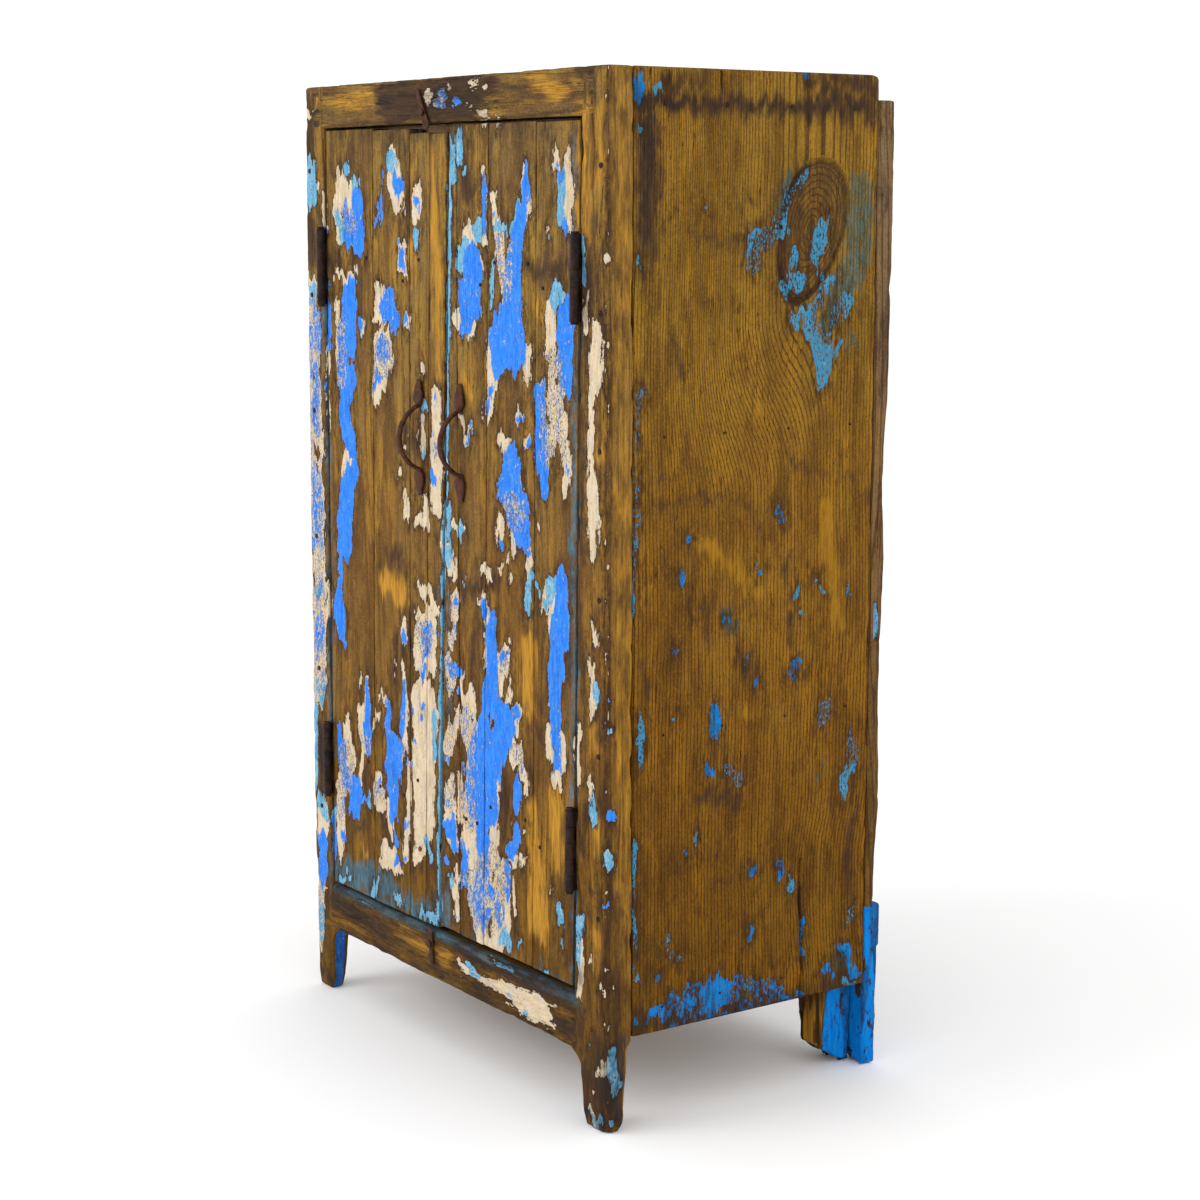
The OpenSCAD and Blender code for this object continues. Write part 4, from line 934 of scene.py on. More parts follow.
# The right-hand side, as (y, z, half width) chains with y from the front of the posts.
SIDE = {
    "sky": [
        [(40, 1040, 3)], [(62, 1076, 6)], [(233, 973, 6), (245, 985, 4), (256, 1002, 3)],
        [(231, 962, 7), (219, 940, 13), (202, 926, 11), (188, 928, 11), (186, 903, 9)],
        [(280, 946, 7), (275, 912, 11)], [(244, 922, 7), (238, 904, 8)],
        [(234, 884, 10), (250, 884, 10)], [(245, 848, 8), (262, 850, 9)],
        [(262, 836, 9), (279, 830, 15), (283, 803, 13), (281, 772, 5)], [(275, 863, 11)],
        [(290, 884, 9)], [(304, 852, 12), (318, 864, 9)], [(305, 815, 8)], [(75, 955, 3)],
        [(123, 958, 3)], [(40, 905, 3)],
        [(41, 775, 5), (36, 745, 3), (35, 700, 2), (37, 632, 5), (32, 600, 4), (31, 580, 6),
         (32, 550, 3)],
        [(42, 448, 3), (42, 420, 4), (41, 392, 2)], [(85, 443, 4)], [(294, 430, 6), (293, 411, 9)],
        [(160, 370, 7), (172, 360, 9)], [(335, 383, 5), (334, 362, 8), (324, 345, 8), (324, 325, 4)],
        [(250, 552, 4), (250, 544, 3)], [(325, 548, 3)], [(277, 571, 3)], [(288, 556, 4)],
        [(260, 527, 3)], [(251, 232, 5), (249, 220, 3)], [(341, 195, 4), (335, 180, 3)],
        [(76, 197, 5), (83, 178, 5), (93, 178, 5)], [(36, 195, 3), (33, 176, 4)], [(40, 165, 4)],
        [(190, 130, 9)], [(116, 301, 3)], [(34, 300, 4), (35, 240, 2), (36, 200, 2)],
        [(340, 100, 4), (328, 101, 4)],
    ],
    "blue": [
        [(40, 1092, 5), (40, 1070, 4)], [(254, 1098, 3)], [(138, 438, 4), (143, 420, 8), (146, 411, 5)],
        [(200, 583, 6)], [(155, 530, 5)], [(133, 377, 6), (137, 362, 3)],
        [(60, 118, 8), (80, 122, 11), (110, 126, 14), (140, 128, 17), (175, 128, 11)],
        [(138, 112, 6), (138, 97, 8)], [(196, 122, 7), (213, 119, 9), (228, 112, 8), (240, 102, 8)],
        [(190, 100, 9)], [(75, 99, 5), (120, 98, 7), (220, 99, 6)],
        [(318, 150, 5), (330, 140, 7), (345, 112, 7)], [(300, 118, 6)], [(260, 102, 6)], [(38, 112, 5)],
        [(305, 125, 6)], [(345, 122, 6)], [(225, 642, 7)], [(105, 628, 5)], [(97, 586, 5)],
        [(72, 601, 3)], [(118, 543, 4)], [(248, 470, 9)], [(193, 470, 4)], [(86, 507, 3)],
        [(183, 492, 4)], [(192, 255, 7)], [(234, 258, 6), (233, 240, 5)],
        [(193, 183, 3), (195, 201, 3)], [(68, 168, 4)], [(155, 98, 4), (80, 99, 3)], [(102, 288, 3)],
        [(142, 286, 3)], [(268, 190, 2), (264, 150, 2)],
    ],
    "speck": [
        [(186, 905, 12), (245, 985, 10)], [(290, 850, 26)], [(36, 600, 12), (36, 780, 10)],
        [(334, 370, 16)], [(294, 420, 16)], [(225, 635, 14)], [(100, 610, 24)], [(250, 468, 16)],
        [(293, 420, 10)], [(165, 365, 16)], [(190, 490, 12)], [(80, 180, 20)], [(190, 255, 10)],
        [(200, 115, 40)], [(100, 118, 30)], [(35, 200, 20)], [(340, 190, 12)], [(235, 250, 12)],
        [(150, 300, 30)], [(120, 543, 8)],
    ],
    "soot_and_shade": [
        [(45, 1066, 12), (190, 1064, 9), (345, 1066, 13)],
        [(50, 1040, 16), (50, 930, 12), (48, 905, 7)], [(70, 1085, 9), (120, 1090, 6)],
        [(260, 1090, 8), (345, 1090, 12)], [(62, 1000, 8), (60, 915, 4)],
        [(340, 1088, 12), (315, 1090, 5)], [(346, 1050, 9), (338, 1050, 4)], [(195, 1068, 5)],
        [(115, 935, 2), (190, 925, 2)], [(155, 1090, 3), (140, 1075, 3)],
        [(235, 702, 1), (300, 678, 1), (352, 652, 2)], [(60, 660, 1), (150, 668, 1), (230, 632, 1)],
        [(235, 580, 7)], [(245, 520, 7), (244, 505, 6)], [(175, 500, 6), (182, 478, 6)],
        [(188, 640, 3), (200, 618, 3)], [(105, 570, 4), (104, 545, 3)], [(135, 512, 2), (120, 540, 1)],
        [(190, 536, 3)], [(140, 400, 2), (136, 380, 2)], [(85, 113, 6), (115, 114, 6)],
        [(160, 114, 6), (178, 108, 5)], [(215, 103, 6), (195, 112, 5)], [(45, 125, 10), (45, 105, 8)],
        [(322, 136, 12)], [(300, 105, 10), (345, 108, 8)], [(52, 127, 4)],
        [(332, 215, 6), (328, 260, 5), (342, 300, 5)], [(260, 240, 3), (263, 190, 3)],
        [(120, 345, 8), (175, 340, 6)], [(50, 470, 4), (45, 500, 3)], [(140, 249, 1), (172, 247, 2)],
        [(125, 862, 3)], [(80, 830, 4), (95, 800, 4)], [(70, 690, 5)], [(185, 968, 4), (165, 975, 3)],
    ],
    "dirt_and_shade": [
        [(48, 1068, 9), (50, 1010, 8), (46, 935, 5)], [(60, 1066, 4), (190, 1064, 2), (330, 1064, 5)],
        [(60, 104, 7), (150, 103, 6), (250, 100, 6)], [(322, 136, 3)],
    ],
    "glow": [
        [(195, 745, 6)], [(120, 620, 8), (200, 560, 4)], [(290, 640, 10), (310, 520, 8)],
        [(180, 430, 6)],
    ],
    "haze": [
        [(330, 985, 12), (334, 950, 18), (325, 900, 19), (300, 868, 14), (285, 845, 10)],
        [(345, 985, 8)], [(240, 1000, 8), (222, 965, 8)], [(255, 1000, 6)], [(325, 820, 8)],
        [(287, 350, 6)], [(322, 128, 16)], [(190, 120, 14)], [(150, 545, 6), (165, 520, 8)],
        [(60, 1070, 8)],
    ],
}

# The outline of the knot in the right-hand side: middle, half axes and lean from upright
KNOT_Y, KNOT_Z = 264.0, 937.0
KNOT_HALF = (41.0, 73.0)
KNOT_LEAN = math.radians(18)


def knot_distance(y, z):
    """0 at the middle of the knot and 1 on its outline, which is fuller at the top."""
    u = (y - KNOT_Y) * math.cos(KNOT_LEAN) - (z - KNOT_Z) * math.sin(KNOT_LEAN)
    v = (y - KNOT_Y) * math.sin(KNOT_LEAN) + (z - KNOT_Z) * math.cos(KNOT_LEAN)
    width = KNOT_HALF[0] * (1 + 0.18 * v / KNOT_HALF[1])
    return np.hypot(u / width, v / KNOT_HALF[1])


def from_front(board):
    """Each point's distance behind the front of the posts."""
    return board.flat[:, Y] - limits("right_post")[0][Y]


def knotted_rings(board):
    """Upright grain that is pushed aside above the knot and sweeps back below it."""
    y, z = from_front(board), board.flat[:, Z]
    wander = noise(np.stack([y, z * 0, z], 1), (120, 1, 260), 77, 2)
    pushed = 55 * smooth(y, 45, 190) * (1 - smooth(y, 212, 318)) * smooth(z - 0.35 * (y - 140), 650, 830)
    swirl = 10 * smooth(z, 330, 250) * smooth(z, 60, 200) * smooth(y, 200, 290)
    d = knot_distance(y, z)
    inside = smooth(d, 1.08, 0.98)
    return (y + pushed + swirl + 3.0 * wander) * (1 - inside) + inside * 46 * d


def paint(board, sides=(), coats=None, u=None):
    """Attributes that say how deep each point of some sides lies inside the strokes of each coat.
    u is the points' place across the painted side, which is their X unless it is given."""
    u = board.flat[:, X] if u is None else u
    v = board.flat[:, Z]
    near = np.isin(board.side, sides)
    out = {}
    # paint flakes off along the grain, so the strokes are pulled about, mostly that way
    short, long = [10.0] * 3, [6.5] * 3
    short[board.axis], long[board.axis] = 24.0, 40.0
    across_grain = 3.4 * noise(board.flat, short, 301, 2)
    along_grain = 13.0 * noise(board.flat, long, 302, 3)
    if board.axis == X:
        u, v = u + along_grain, v + across_grain
    else:
        u, v = u + across_grain, v + along_grain
    for coat in ("blue", "cream", "sky", "soot_and_shade", "speck", "glow", "haze", "dirt_and_shade", "bare"):
        field = np.full(len(u), NOWHERE)
        if coats and coat in coats:
            field[near] = strokes_field(u[near], v[near], coats[coat])
        out[coat] = field
    bare = out.pop("bare")
    for coat in ("blue", "cream", "sky"):
        out[coat] = np.minimum(out[coat], -bare)
    return out


def add(coats, coat, depth, where=True):
    """Adds a patch to one coat, given by how deep each point lies in it."""
    coats[coat] = np.maximum(coats[coat], np.where(where, depth, NOWHERE))


def edge_paint(coats, board, face, amount):
    """Old blue that is left in a narrow gap, where nothing rubs it off. The faces in the gap are
    darkened too: painted shade of the gap together with grime.
    """
    on_face = board.side == face
    lumps = board.noise((20, 20, 60), 91)
    coats["sky"][on_face] = (amount + 7 * lumps)[on_face]
    coats["haze"][on_face] = 6.0
    # painted shade inside the gap, mixed with grime
    coats["soot_and_shade"][on_face] = (-3 + 9 * lumps)[on_face]
    coats["dirt_and_shade"][on_face] = (2 - 9 * lumps)[on_face]


# ---------------------------------------------------------------- the boards

def soften_foot(board, inner, fillet=13.0):
    """Rounds the foot of a post, and the corner its leg makes with the bottom rail."""
    z = board.flat[:, Z]
    under = limits("bottom_rail")[0][Z] - z
    drop = fillet - np.clip(under, 0, fillet)
    arc = fillet - np.sqrt(np.clip(fillet ** 2 - drop ** 2, 0, None))
    turn = np.where((under > -6) & (under < fillet), arc, 0.0)
    outwards = -1 if inner == LOW_ACROSS else 1
    facing = board.nrm[:, X] * outwards
    board.pts[:, X] += turn * np.clip(facing, 0, 1) * outwards
    chips = np.maximum(board.noise((14, 14, 18), 7), 0)
    board.push(-(1.2 * smooth(z, 16, 0) + 3.2 * chips * smooth(z, 30, 2)))


# How much more the front arrises of the posts and rails are rounded, at their two ends
POST_ROUNDS = {"left": {LOW_LOW: (2.0, 3.0)}, "right": {HIGH_LOW: (10.0, 5.0)}}
RAIL_ROUNDS = {"top_rail": {}, "bottom_rail": {HIGH_LOW: (5.0, 6.0)}}

# Cracks along the grain: place across the board, from, to, width and depth. Those of the side
# boards are placed from the front of the posts.
POST_CRACKS = {"left": [], "right": [(286.0, 975, 1101, 2.6, 3.0)]}
SIDE_CRACKS = {
    "left": [(96, 96, 210, 2.6, 5.0), (214, 985, 1101, 3.0, 6.0), (300, 300, 520, 1.6, 2.5)],
    "right": [(141, 1068, 1101, 3.0, 5.0), (262, 95, 268, 3.8, 7.0)],
}


def worn_arris(board, coats):
    """The rounded outer arris of the right post: a hollow with a dark broken line down it, painted
    partly as the shade where the rounding turns from the light, specks of cream, and clean honey
    wood beside it."""
    outside = board.nrm[:, X] > 0.05
    turn = board.nrm[:, X] + board.nrm[:, Y]
    # the dark line: painted shade where the rounding turns from the light, with a broken dark line in it
    line = 14 * np.exp(-((turn + 0.25) / 0.26) ** 2) + 8 * noise(board.flat, (6, 6, 30), 411, 3)
    add(coats, "soot_and_shade", line - 4.0, outside)
    add(coats, "glow", 5 * smooth(board.t, 100, 300) - 4, turn > 0.3)
    add(coats, "cream", 10 * noise(board.flat, (3, 3, 9), 412, 2) - 7.2, np.abs(turn + 0.4) < 0.4)
    board.push(-np.where(outside, 1.4 * np.exp(-((turn + 0.55) / 0.2) ** 2), 0.0))


def post(side):
    """A front post, with strong blue left on the inner face of its foot."""
    node = side + "_post"
    board = board_from(node, node + "_worn", Z, X, grid=2.5, step=3.0, edge=2.6, wear=1.3, wave=0.9,
                       rounds=POST_ROUNDS[side], columns=[c[0] for c in POST_CRACKS[side]])
    for crack in POST_CRACKS[side]:
        board.crack(LOW_DEPTH, *crack)
    inner = HIGH_ACROSS if side == "left" else LOW_ACROSS
    soften_foot(board, inner)
    coats = paint(board, FRONT_SIDES, FRONT)
    edge_paint(coats, board, inner, 0.5)
    foot = (board.side == inner) & (board.t < 80)
    coats["blue"][foot] = 9.0
    coats["speck"][foot] = -6.0
    coats["dirt_and_shade"][foot] = 4.0
    if side == "right":
        beside = paint(board, (HIGH_LOW, HIGH_ACROSS), POST_SIDE, u=from_front(board))
        for coat in POST_SIDE:
            add(coats, coat, beside[coat])
        worn_arris(board, coats)
    board.make("case", "frame_wood", frame_wood, **coats)


def rail(node):
    """A front rail. The bottom one is dirtier, with a film of teal along its upper arris."""
    board = board_from(node, node + "_worn", X, Z, grid=2.5, step=3.0, edge=2.4, wear=1.2, wave=0.9,
                       hold=40.0, rounds=RAIL_ROUNDS[node])
    coats = paint(board, FRONT_SIDES, FRONT)
    shade = 5 * board.noise((60, 20, 14), 51)
    if node == "bottom_rail":
        upper = board.side == HIGH_LOW
        add(coats, "dirt_and_shade", shade + 0.5, coats["cream"] <= -7)
        coats["haze"][upper] = 9.0
        coats["sky"][upper] = -4.0 + 1.6 * shade[upper]
    else:
        add(coats, "dirt_and_shade", shade - 2.0)
    board.make("case", "frame_wood", frame_wood, **coats)


def door(side):
    """A door of four planks on two ledges, with grime towards the top."""
    body = side + "_door"
    for i in PLANKS:
        node = "%s_door_plank_%d" % (side, i)
        board = board_from(node, node + "_worn", Z, X, grid=3.0, step=3.0, edge=1.2, wear=0.9,
                           wave=0.7)
        coats = paint(board, FRONT_SIDES, FRONT)
        edge_paint(coats, board, HIGH_ACROSS, 3.0 if i == PLANKS[-1] else -2.0)
        add(coats, "dirt_and_shade", 7 * board.noise((20, 20, 30), 31) + 9 * smooth(board.t, 980, 1050) - 9)
        board.make(body, "door_paint", door_wood, **coats)
    for level in ("upper", "lower"):
        node = "%s_door_%s_ledge" % (side, level)
        board = board_from(node, node + "_worn", X, Z, grid=5.0, step=5.0, edge=2.0, wear=1.0,
                           wave=0.8, hold=8.0)
        board.make(body, "inner_wood", inner_wood, **paint(board))


def flecks(board, sides, amount, blue_share=0.5):
    """Paint that is left here and there on sides that no stroke describes. amount goes from 0
    for almost none to above 1 for a whole coat, and blue_share is how much of it is blue."""
    out = paint(board)
    near = np.isin(board.side, sides)
    at = board.flat + board.seed
    lumps = noise(at, (22, 22, 75), board.seed + 61, 4)
    kind = noise(at, (90, 90, 160), board.seed + 67, 2)
    stains = noise(at, (40, 40, 60), board.seed + 71, 4)
    depth = 22 * (lumps - 1.0 + amount)
    not_blue = 14 * smooth(kind, 0.6 - blue_share, -0.6 - blue_share)
    out["sky"][near] = depth[near]
    out["blue"][near] = (depth - not_blue)[near] - 1.0
    out["cream"][near] = (depth - 16 + 14 * smooth(kind, 0.2, 0.7))[near]
    out["speck"][near] = 4.0
    out["soot_and_shade"][near] = (16 * stains - 16)[near]
    return out


def carve_knot(board, outer):
    """Carves the knot's rim and its hollow middle, and paints the right-hand side board."""
    y, z = from_front(board), board.flat[:, Z]
    on_face = board.side == outer
    d = knot_distance(y, z)
    rim = np.exp(-((d - 1.0 - 0.03 * noise(board.flat, (12, 12, 20), 5, 2)) / 0.06) ** 2)
    open_side = smooth(y - KNOT_Y + 0.3 * (z - KNOT_Z), 20, -20)
    hollow = rim * (0.5 + 2.2 * open_side) + 1.2 * np.exp(-((d - 0.35) / 0.25) ** 2)
    board.push(np.where(on_face, -hollow, 0.0))
    coats = paint(board, (outer, HIGH_HIGH, LOW_HIGH), SIDE, u=y)
    add(coats, "soot_and_shade", 40 * rim * (0.35 + 0.9 * open_side) - 8, on_face)
    add(coats, "soot_and_shade", 1.0 + 2.5 * smooth(d, 0.3, 1.0), on_face & (d < 1))
    return coats


def side_panel(side):
    """The wide board of one side. The right one has the knot and is painted stroke by stroke."""
    node = side + "_side_board"
    front = limits("right_post")[0][Y]
    cracks = [(front + at, *rest) for at, *rest in SIDE_CRACKS[side]]
    outer, grid = (HIGH_DEPTH, 3.0) if side == "right" else (LOW_DEPTH, 4.5)
    board = board_from(node, node + "_worn", Z, Y, grid=grid, step=grid, edge=2.2, wear=1.3,
                       wave=1.1, columns=[c[0] for c in cracks])
    for crack in cracks:
        board.crack(outer, *crack)
    if side == "right":
        coats = carve_knot(board, outer)
        coats["ring"] = knotted_rings(board)
    else:
        coats = flecks(board, (outer,), 0.32, 0.2)
    board.make("case", "side_wood", side_wood, **coats)


def plain_board(node, axis, across, slot, material, grid, sides=(), amount=0.0, shape=None, **kw):
    """A board of the case with no paint, or with flecks on some sides. shape may change it."""
    board = board_from(node, node + "_worn", axis, across, grid=grid, step=grid, **kw)
    if shape is not None:
        shape(board)
    coats = flecks(board, sides, amount) if sides else paint(board)
    board.make("case", slot, material, **coats)


def waney_edge(board):
    """The outer edge of the last back board, which the bark side of the tree leaves wavy."""
    x, z = board.flat[:, X], board.flat[:, Z]
    heights = [100, 217, 309, 400, 446, 490, 580, 668, 755, 850, 1080]
    thinner = [10, 10, 5, 8, 8, 6, 4, 8, 3, 1, 0]
    loss = np.interp(z, heights, thinner) + 0.8 * noise(board.flat, (30, 30, 25), 5, 2) - 0.4
    lo, hi = board.flat.min(0), board.flat.max(0)
    behind = smooth(board.flat[:, Y], lo[Y] + 8, hi[Y])
    board.pts[:, Y] -= np.clip(loss, 0, 12) * smooth(x, hi[X] - 45, hi[X] - 4) * behind


GROOVES = (6, 6, 120)  # the size of the grooves that rot leaves along the grain


def rotten_end(board, height=95.0, lift=24.0, towards=Y, deep=3.2):
    """Splinters and hollows the lower end of an upright, most at its low side across towards."""
    z = board.flat[:, Z]
    lo, hi = board.flat.min(0), board.flat.max(0)
    share = (board.flat[:, towards] - lo[towards]) / (hi[towards] - lo[towards])
    level = np.stack([board.flat[:, X], board.flat[:, Y], z * 0], 1)
    ragged = noise(level, (9, 9, 1), board.seed + 41, 3)
    rise = np.clip(lift * (1 - share) ** 1.2 + 7 * np.maximum(ragged, 0), 0, lift * 1.4)
    low = 1 - smooth(z, 0, height)
    grooves = np.maximum(board.noise(GROOVES, 43, 2), 0)
    board.push(-(deep * grooves * smooth(z, height * 1.6, height * 0.5) + 2.5 * low))
    board.pts[:, Z] += rise * low


WHOLE_COAT = 1.85  # the amount of flecks that leaves hardly a gap


def rotten_paint(board, coats):
    """Deep azure over dark wood, gone in places and dirty along the folds."""
    bare = 9 * board.noise((24, 24, 60), 5) - 6
    coats["blue"] = np.minimum(coats["blue"], -bare)
    coats["sky"][:] = NOWHERE
    coats["cream"][:] = NOWHERE
    coats["speck"][:] = -8.0
    coats["soot_and_shade"] = 12 * board.noise((20, 20, 50), 15)
    coats["dirt_and_shade"] = 50 * board.noise((13, 13, 90), 9) - 2


def rear_foot(side):
    """A short thick board behind each rear post, blue wherever it is seen from outside."""
    node = side + "_rear_foot"
    board = board_from(node, node + "_worn", Z, X, grid=3.0, step=3.0, edge=2.6, wear=1.5, hold=9.0)
    rotten_end(board, height=60.0, lift=6.0, towards=X)
    # its top reaches into the notch of the back board, so that no light comes through there
    top = limits(node)[1][Z]
    board.pts[:, Z] += 6.0 * smooth(board.flat[:, Z], top - 30, top)
    coats = flecks(board, ALL_SIDES, WHOLE_COAT, 1.0)
    rotten_paint(board, coats)
    inner_arris = HIGH_LOW if side == "left" else LOW_LOW
    inside = np.isin(board.side, (LOW_DEPTH, inner_arris)) & (board.t > 100)
    coats["blue"][inside] = NOWHERE
    folded = ~np.isin(board.side, FRONT_SIDES) & (board.t < top - 45)
    board.push(-np.where(folded, 2.6 * smooth(coats["dirt_and_shade"], 0.0, 12.0), 0.0))
    board.make("case", "blue_paint", foot_wood, **coats)


def rear_post(side):
    """A rear post, blue outside, with golden splinters at the foot of its front face."""
    node = side + "_rear_post"
    board = board_from(node, node + "_worn", Z, X, grid=3.0, step=3.0, edge=2.5, wear=1.5)
    rotten_end(board, deep=6.0)
    outside = (HIGH_ACROSS, HIGH_HIGH) if side == "right" else (LOW_ACROSS, LOW_HIGH)
    coats = flecks(board, outside, WHOLE_COAT, 1.0)
    rotten_paint(board, coats)
    front = np.isin(board.side, FRONT_SIDES)
    coats["blue"][front] = NOWHERE
    coats["dirt_and_shade"][front] = (9 * smooth(board.t, 70, 105) - 8)[front]
    grooves = board.noise(GROOVES, 43, 2)
    coats["soot_and_shade"][front] = (60 * grooves * smooth(board.t, 130, 60) - 4)[front]
    coats["glow"][front] = (16 * smooth(board.t, 90, 40) - 8)[front]
    board.make("case", "inner_wood", foot_wood, **coats)


def straight_boards(node, names, across, slot, material, stations, **kw):
    """A worn board along Y for each separate solid of a CAD node."""
    depth = 3 - Y - across
    for name, (low, high) in zip(names, solids(node)):
        t = np.linspace(low[Y], high[Y], stations)
        lows = np.tile((low[across], low[depth]), (stations, 1))
        highs = np.tile((high[across], high[depth]), (stations, 1))
        board = Board(name, [node], Y, across, t, lows, highs, **kw)
        board.make("case", slot, material, **paint(board))


for side in ("left", "right"):
    post(side)
    door(side)
    side_panel(side)
    rear_post(side)
    rear_foot(side)
for node in ("top_rail", "bottom_rail"):
    rail(node)
for node in ("top_stop", "bottom_stop"):
    plain_board(node, X, Z, "inner_wood", inner_wood, grid=5.0)
for node in ("top_board", "bottom_board", "lower_shelf", "upper_shelf"):
    plain_board(node, X, Y, "inner_wood", inner_wood, grid=7.0, edge=1.8)
for i in PLANKS:
    plain_board("back_board_%d" % i, Z, X, "back_wood", back_wood, grid=4.0, edge=2.0, wear=1.2,
                sides=(HIGH_ACROSS, HIGH_DEPTH, LOW_ACROSS, HIGH_HIGH, LOW_HIGH), amount=0.36,
                shape=waney_edge if i == PLANKS[-1] else None)
for node in ("lower_shelf_battens", "upper_shelf_battens"):
    straight_boards(node, (node + "_l_worn", node + "_r_worn"), Z, "inner_wood", inner_wood, 40,
                    grid=6.0)


# ---------------------------------------------------------------- forged iron and nails

def forged(node, body, centre, wide, thick, half_w, half_t, boxy, count=28):
    """A hammered iron bar along a line of centres, in the place of a CAD node. wide and thick are
    its two cross directions, half_w and half_t its half sizes and boxy how square it is."""
    name = node + "_forged"
    angle = np.linspace(0, 2 * math.pi, count, endpoint=False)[None, :]
    power = 1.0 - 0.55 * np.asarray(boxy)[:, None]
    c, s = np.cos(angle), np.sin(angle)
    a = (np.sign(c) * np.abs(c) ** power * half_w[:, None])[..., None] * wide[:, None, :]
    b = (np.sign(s) * np.abs(s) ** power * half_t[:, None])[..., None] * thick[:, None, :]
    pts = (centre[:, None, :] + a + b).reshape(-1, 3)
    out = (a + b).reshape(-1, 3)
    out /= np.maximum(np.linalg.norm(out, axis=1), 1e-6)[:, None]
    seed = seed_of(name)
    dents = 0.34 * noise(pts, (5, 5, 6), seed, 2) + 0.16 * noise(pts, (1.6, 1.6, 1.8), seed + 1, 2)
    pts += out * (dents - 0.3)[:, None]
    quads, ends = tube_quads(len(centre), count)
    build(name, pts, quads.tolist() + ends, body, rusty_iron, replaces=[node])


def handle(side):
    """Two narrow hammered tongues against the planks, with a round bow between them."""
    node = side + "_handle"
    lo, hi = limits(node)
    x, middle, wall = (lo[X] + hi[X]) / 2, (lo[Z] + hi[Z]) / 2, hi[Y]
    half_span, tip = 36.0, (hi[Z] - lo[Z]) / 2
    bar, clearance = 3.0, 1.5
    reach = wall - lo[Y] - bar - clearance
    radius = (half_span ** 2 + reach ** 2) / (2 * reach)
    half_angle = math.asin(half_span / radius)
    bow = np.linspace(-half_angle, half_angle, 90)
    flat = 34  # the centres along each tongue
    z = np.concatenate([np.linspace(-tip, -half_span - 1, flat), radius * np.sin(bow),
                        np.linspace(half_span + 1, tip, flat)])
    out = np.concatenate([np.zeros(flat), radius * np.cos(bow) - radius + reach, np.zeros(flat)])
    # how far along its tongue a centre is: 0 under the bow and 1 at the tip
    tongue = np.clip((np.abs(z) - half_span + 2) / (tip - half_span + 2), 0, 1)
    on_tongue = smooth(tongue, 0.0, 0.22)
    arch = np.clip(out / reach, 0, 1)
    half_w = (3.3 + 0.6 * arch) * (1 - on_tongue) + on_tongue * np.interp(
        tongue, [0, 0.3, 0.55, 0.8, 0.97, 1.0], [5.2, 9.4, 8.4, 5.8, 4.6, 1.5])
    half_t = (2.6 + 0.4 * arch) * (1 - on_tongue) + on_tongue * np.interp(
        tongue, [0, 0.3, 0.7, 0.97, 1.0], [3.0, 3.0, 2.4, 1.8, 0.8])
    level = half_t * on_tongue + 1.5 * (1 - on_tongue) + out
    centre = np.stack([x + 0 * z, wall - level, middle + z], 1)
    along = np.gradient(centre, axis=0)
    along /= np.linalg.norm(along, axis=1)[:, None]
    wide = np.tile((1.0, 0.0, 0.0), (len(z), 1))
    forged(node, side + "_door", centre, wide, np.cross(along, wide), half_w, half_t,
           0.45 * on_tongue)


def turn_button(name, pivot, tilt, short, short_r, long, long_r):
    """A flat forged arm that tapers both ways from the swelling round its pivot. It leans by tilt
    degrees; short and long are the lengths of its two ends and short_r and long_r their roundings."""
    node = name + "_turn_button"
    lo, hi = limits(node)
    s = np.concatenate([[-short], np.linspace(-short + 0.5, long - 0.5, 60), [long]])
    swelling = 5.4 * np.exp(-(s / 5.5) ** 2)
    end = np.where(s < 0, short_r, long_r)
    tip = np.where(s < 0, -short, long)
    rounding = np.sqrt(np.clip(1 - (np.clip(end - np.abs(s - tip), 0, None) / end) ** 2, 0.02, 1))
    neck = np.where(s < 0, np.interp(-s, [0, short - short_r], [4.2, short_r]),
                    np.interp(s, [0, long - long_r], [4.2, long_r - 0.3]))
    half_w = np.maximum(neck, swelling) * rounding
    fullness = 0.78 + 0.16 * np.exp(-(s / 7) ** 2)
    half_t = (hi[Y] - lo[Y]) / 2 * fullness * np.clip(rounding + 0.35, 0, 1)
    lean = math.radians(tilt)
    direction = np.array((-math.sin(lean), 0.0, math.cos(lean)))
    centre = np.array((pivot[0], (lo[Y] + hi[Y]) / 2, pivot[1])) + s[:, None] * direction
    wide = np.tile((math.cos(lean), 0.0, math.sin(lean)), (len(s), 1))
    forged(node, name + "_button", centre, wide, np.tile((0.0, 1.0, 0.0), (len(s), 1)), half_w,
           half_t, 0.5 + 0 * s)


HEAD_HEIGHT = 0.9
# The rings of a nail head, as shares of its radius and of its height, up to the middle
HEAD_RINGS = ((1.0, -1.6), (0.96, -0.35), (0.72, -0.08), (0.4, 0.0), (0.0, 0.0))


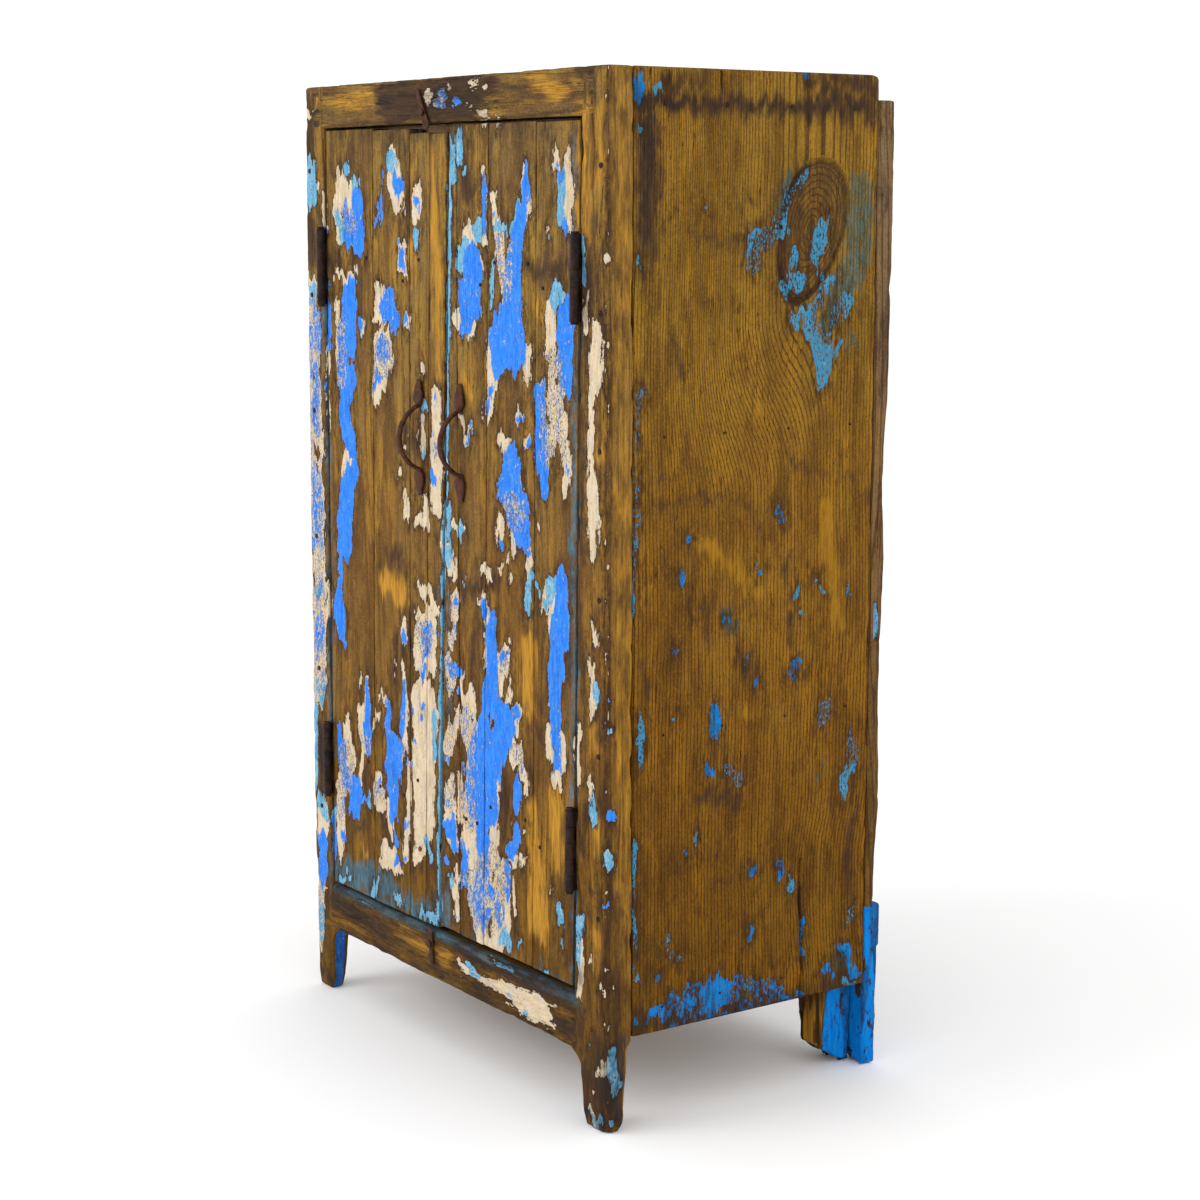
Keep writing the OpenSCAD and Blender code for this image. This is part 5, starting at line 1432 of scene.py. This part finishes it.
def nail_heads(node, body, radius_of):
    """Small irregular domed heads at the outer ends of a CAD node's nails."""
    points, faces = [], []
    count, rings = 14, len(HEAD_RINGS) - 1
    for number, (lo, hi) in enumerate(solids(node)):
        size = hi - lo
        axis = int(np.argmax(size))
        middle = (lo + hi) / 2
        side = -1 if middle[axis] < 0 else 1
        at = middle.copy()
        at[axis] = lo[axis] if side < 0 else hi[axis]
        radius = radius_of(axis, middle)
        first = len(points)
        one, two = [a for a in (X, Y, Z) if a != axis]
        for ring, (f, level) in enumerate(HEAD_RINGS):
            for k in range(count if ring < rings else 1):
                angle = 2 * math.pi * k / count
                wobble = 1 + 0.16 * (hashed(number, k // 2, 5, seed_of(node)) - 0.5)
                p = at.copy()
                p[one] += radius * f * wobble * math.cos(angle)
                p[two] += radius * f * math.sin(angle)
                p[axis] += side * (level * HEAD_HEIGHT)
                points.append(p)
        for ring in range(rings):
            for k in range(count):
                nxt = (k + 1) % count
                a, b = first + ring * count + k, first + ring * count + nxt
                if ring < rings - 1:
                    quad = (a, b, b + count, a + count)
                else:
                    quad = (a, b, first + rings * count)
                faces.append(quad)
    build(node + "_heads", np.array(points), faces, body, black_iron, replaces=[node])


def door_nail_radius(axis, middle):
    """The nails of a door all have the same heads."""
    return 2.1


def case_nail_radius(axis, middle):
    """Small nails in the sides below the top, and larger ones elsewhere."""
    if axis == X:
        return 2.4 if middle[Z] > 1000 else 1.3
    return 2.9 if middle[Y] < 0 else 2.2


for side in ("left", "right"):
    handle(side)
    nail_heads(side + "_door_nails", side + "_door", door_nail_radius)
turn_button("top", (-30.0, 1064.0), tilt=26, short=21, short_r=7, long=29, long_r=4)
turn_button("bottom", (-34.0, 122.0), tilt=185, short=18.5, short_r=5, long=24, long_r=4.5)
nail_heads("case_nails", "case", case_nail_radius)

straight_boards("frame_pegs", ["frame_peg_%d" % k for k in range(4)], X, SLOT["frame_pegs"],
                frame_wood, 24, grid=1.5, edge=2.6, wear=0.2, wave=0.3)

# what is left of the CAD, hinges and pins, is iron with its arrises taken off
for node, obj in frame["nodes"].items():
    if obj.hide_render:
        continue
    material = rusty_iron if "button" in node else black_iron
    obj.data.materials.clear()
    obj.data.materials.append(material)
    bevel = obj.modifiers.new("worn_edges", "BEVEL")
    bevel.width = 0.5 * MM
    bevel.segments = 2
    bevel.limit_method = "ANGLE"


# ---------------------------------------------------------------- floor, light and camera

def plain(name, colour, roughness):
    """A material of one colour."""
    n = Nodes(name)
    shader = n.add("ShaderNodeBsdfPrincipled", {"Base Color": (*colour, 1.0), "Roughness": roughness})
    out = n.add("ShaderNodeOutputMaterial")
    n.tree.links.new(shader.outputs[0], out.inputs[0])
    return n.material


def floor(half=30.0):
    corners = [(-half, -half, 0), (half, -half, 0), (half, half, 0), (-half, half, 0)]
    mesh = bpy.data.meshes.new("studio_floor")
    mesh.from_pydata(corners, [], [(0, 1, 2, 3)])
    mesh.materials.append(plain("studio_white", (0.94, 0.94, 0.94), 0.9))
    obj = bpy.data.objects.new("studio_floor", mesh)
    bpy.context.scene.collection.objects.link(obj)


def area_light(name, place, target, size, power):
    """A square light of a size in metres and a power in watts, turned towards target."""
    data = bpy.data.lights.new(name, "AREA")
    data.shape = "SQUARE"
    data.size = size
    data.energy = power
    obj = bpy.data.objects.new(name, data)
    bpy.context.scene.collection.objects.link(obj)
    obj.location = place
    direction = np.array(target) - np.array(place)
    yaw = math.atan2(direction[1], direction[0]) - math.pi / 2
    pitch = math.atan2(direction[2], math.hypot(direction[0], direction[1]))
    obj.rotation_euler = (math.pi / 2 + pitch, 0.0, yaw)


def camera(place, down, turn, lens):
    """A camera that looks down and to the left by two angles in degrees."""
    data = bpy.data.cameras.new("camera")
    data.lens = lens
    data.sensor_width = 36.0
    obj = bpy.data.objects.new("camera", data)
    bpy.context.scene.collection.objects.link(obj)
    obj.location = place
    obj.rotation_euler = Euler([math.radians(a) for a in (90 - down, 0.0, turn)])
    bpy.context.scene.camera = obj


def sky(strength):
    """Even white light from all round."""
    world = bpy.data.worlds.new("studio")
    world.use_nodes = True
    bpy.context.scene.world = world
    back = world.node_tree.nodes["Background"]
    back.inputs["Color"].default_value = (1.0, 1.0, 1.0, 1.0)
    back.inputs["Strength"].default_value = strength


floor()
camera((2.2539, -1.5731, 0.9685), down=9.435, turn=54.413, lens=72.06)
sky(1.08)
area_light("front_softbox", (-0.9, -3.0, 1.9), (0, 0, 0.6), 1.8, 42)
area_light("right_softbox", (3.2, 0.6, 1.7), (0, 0, 0.6), 1.6, 16)
bpy.context.scene.view_settings.view_transform = "Standard"
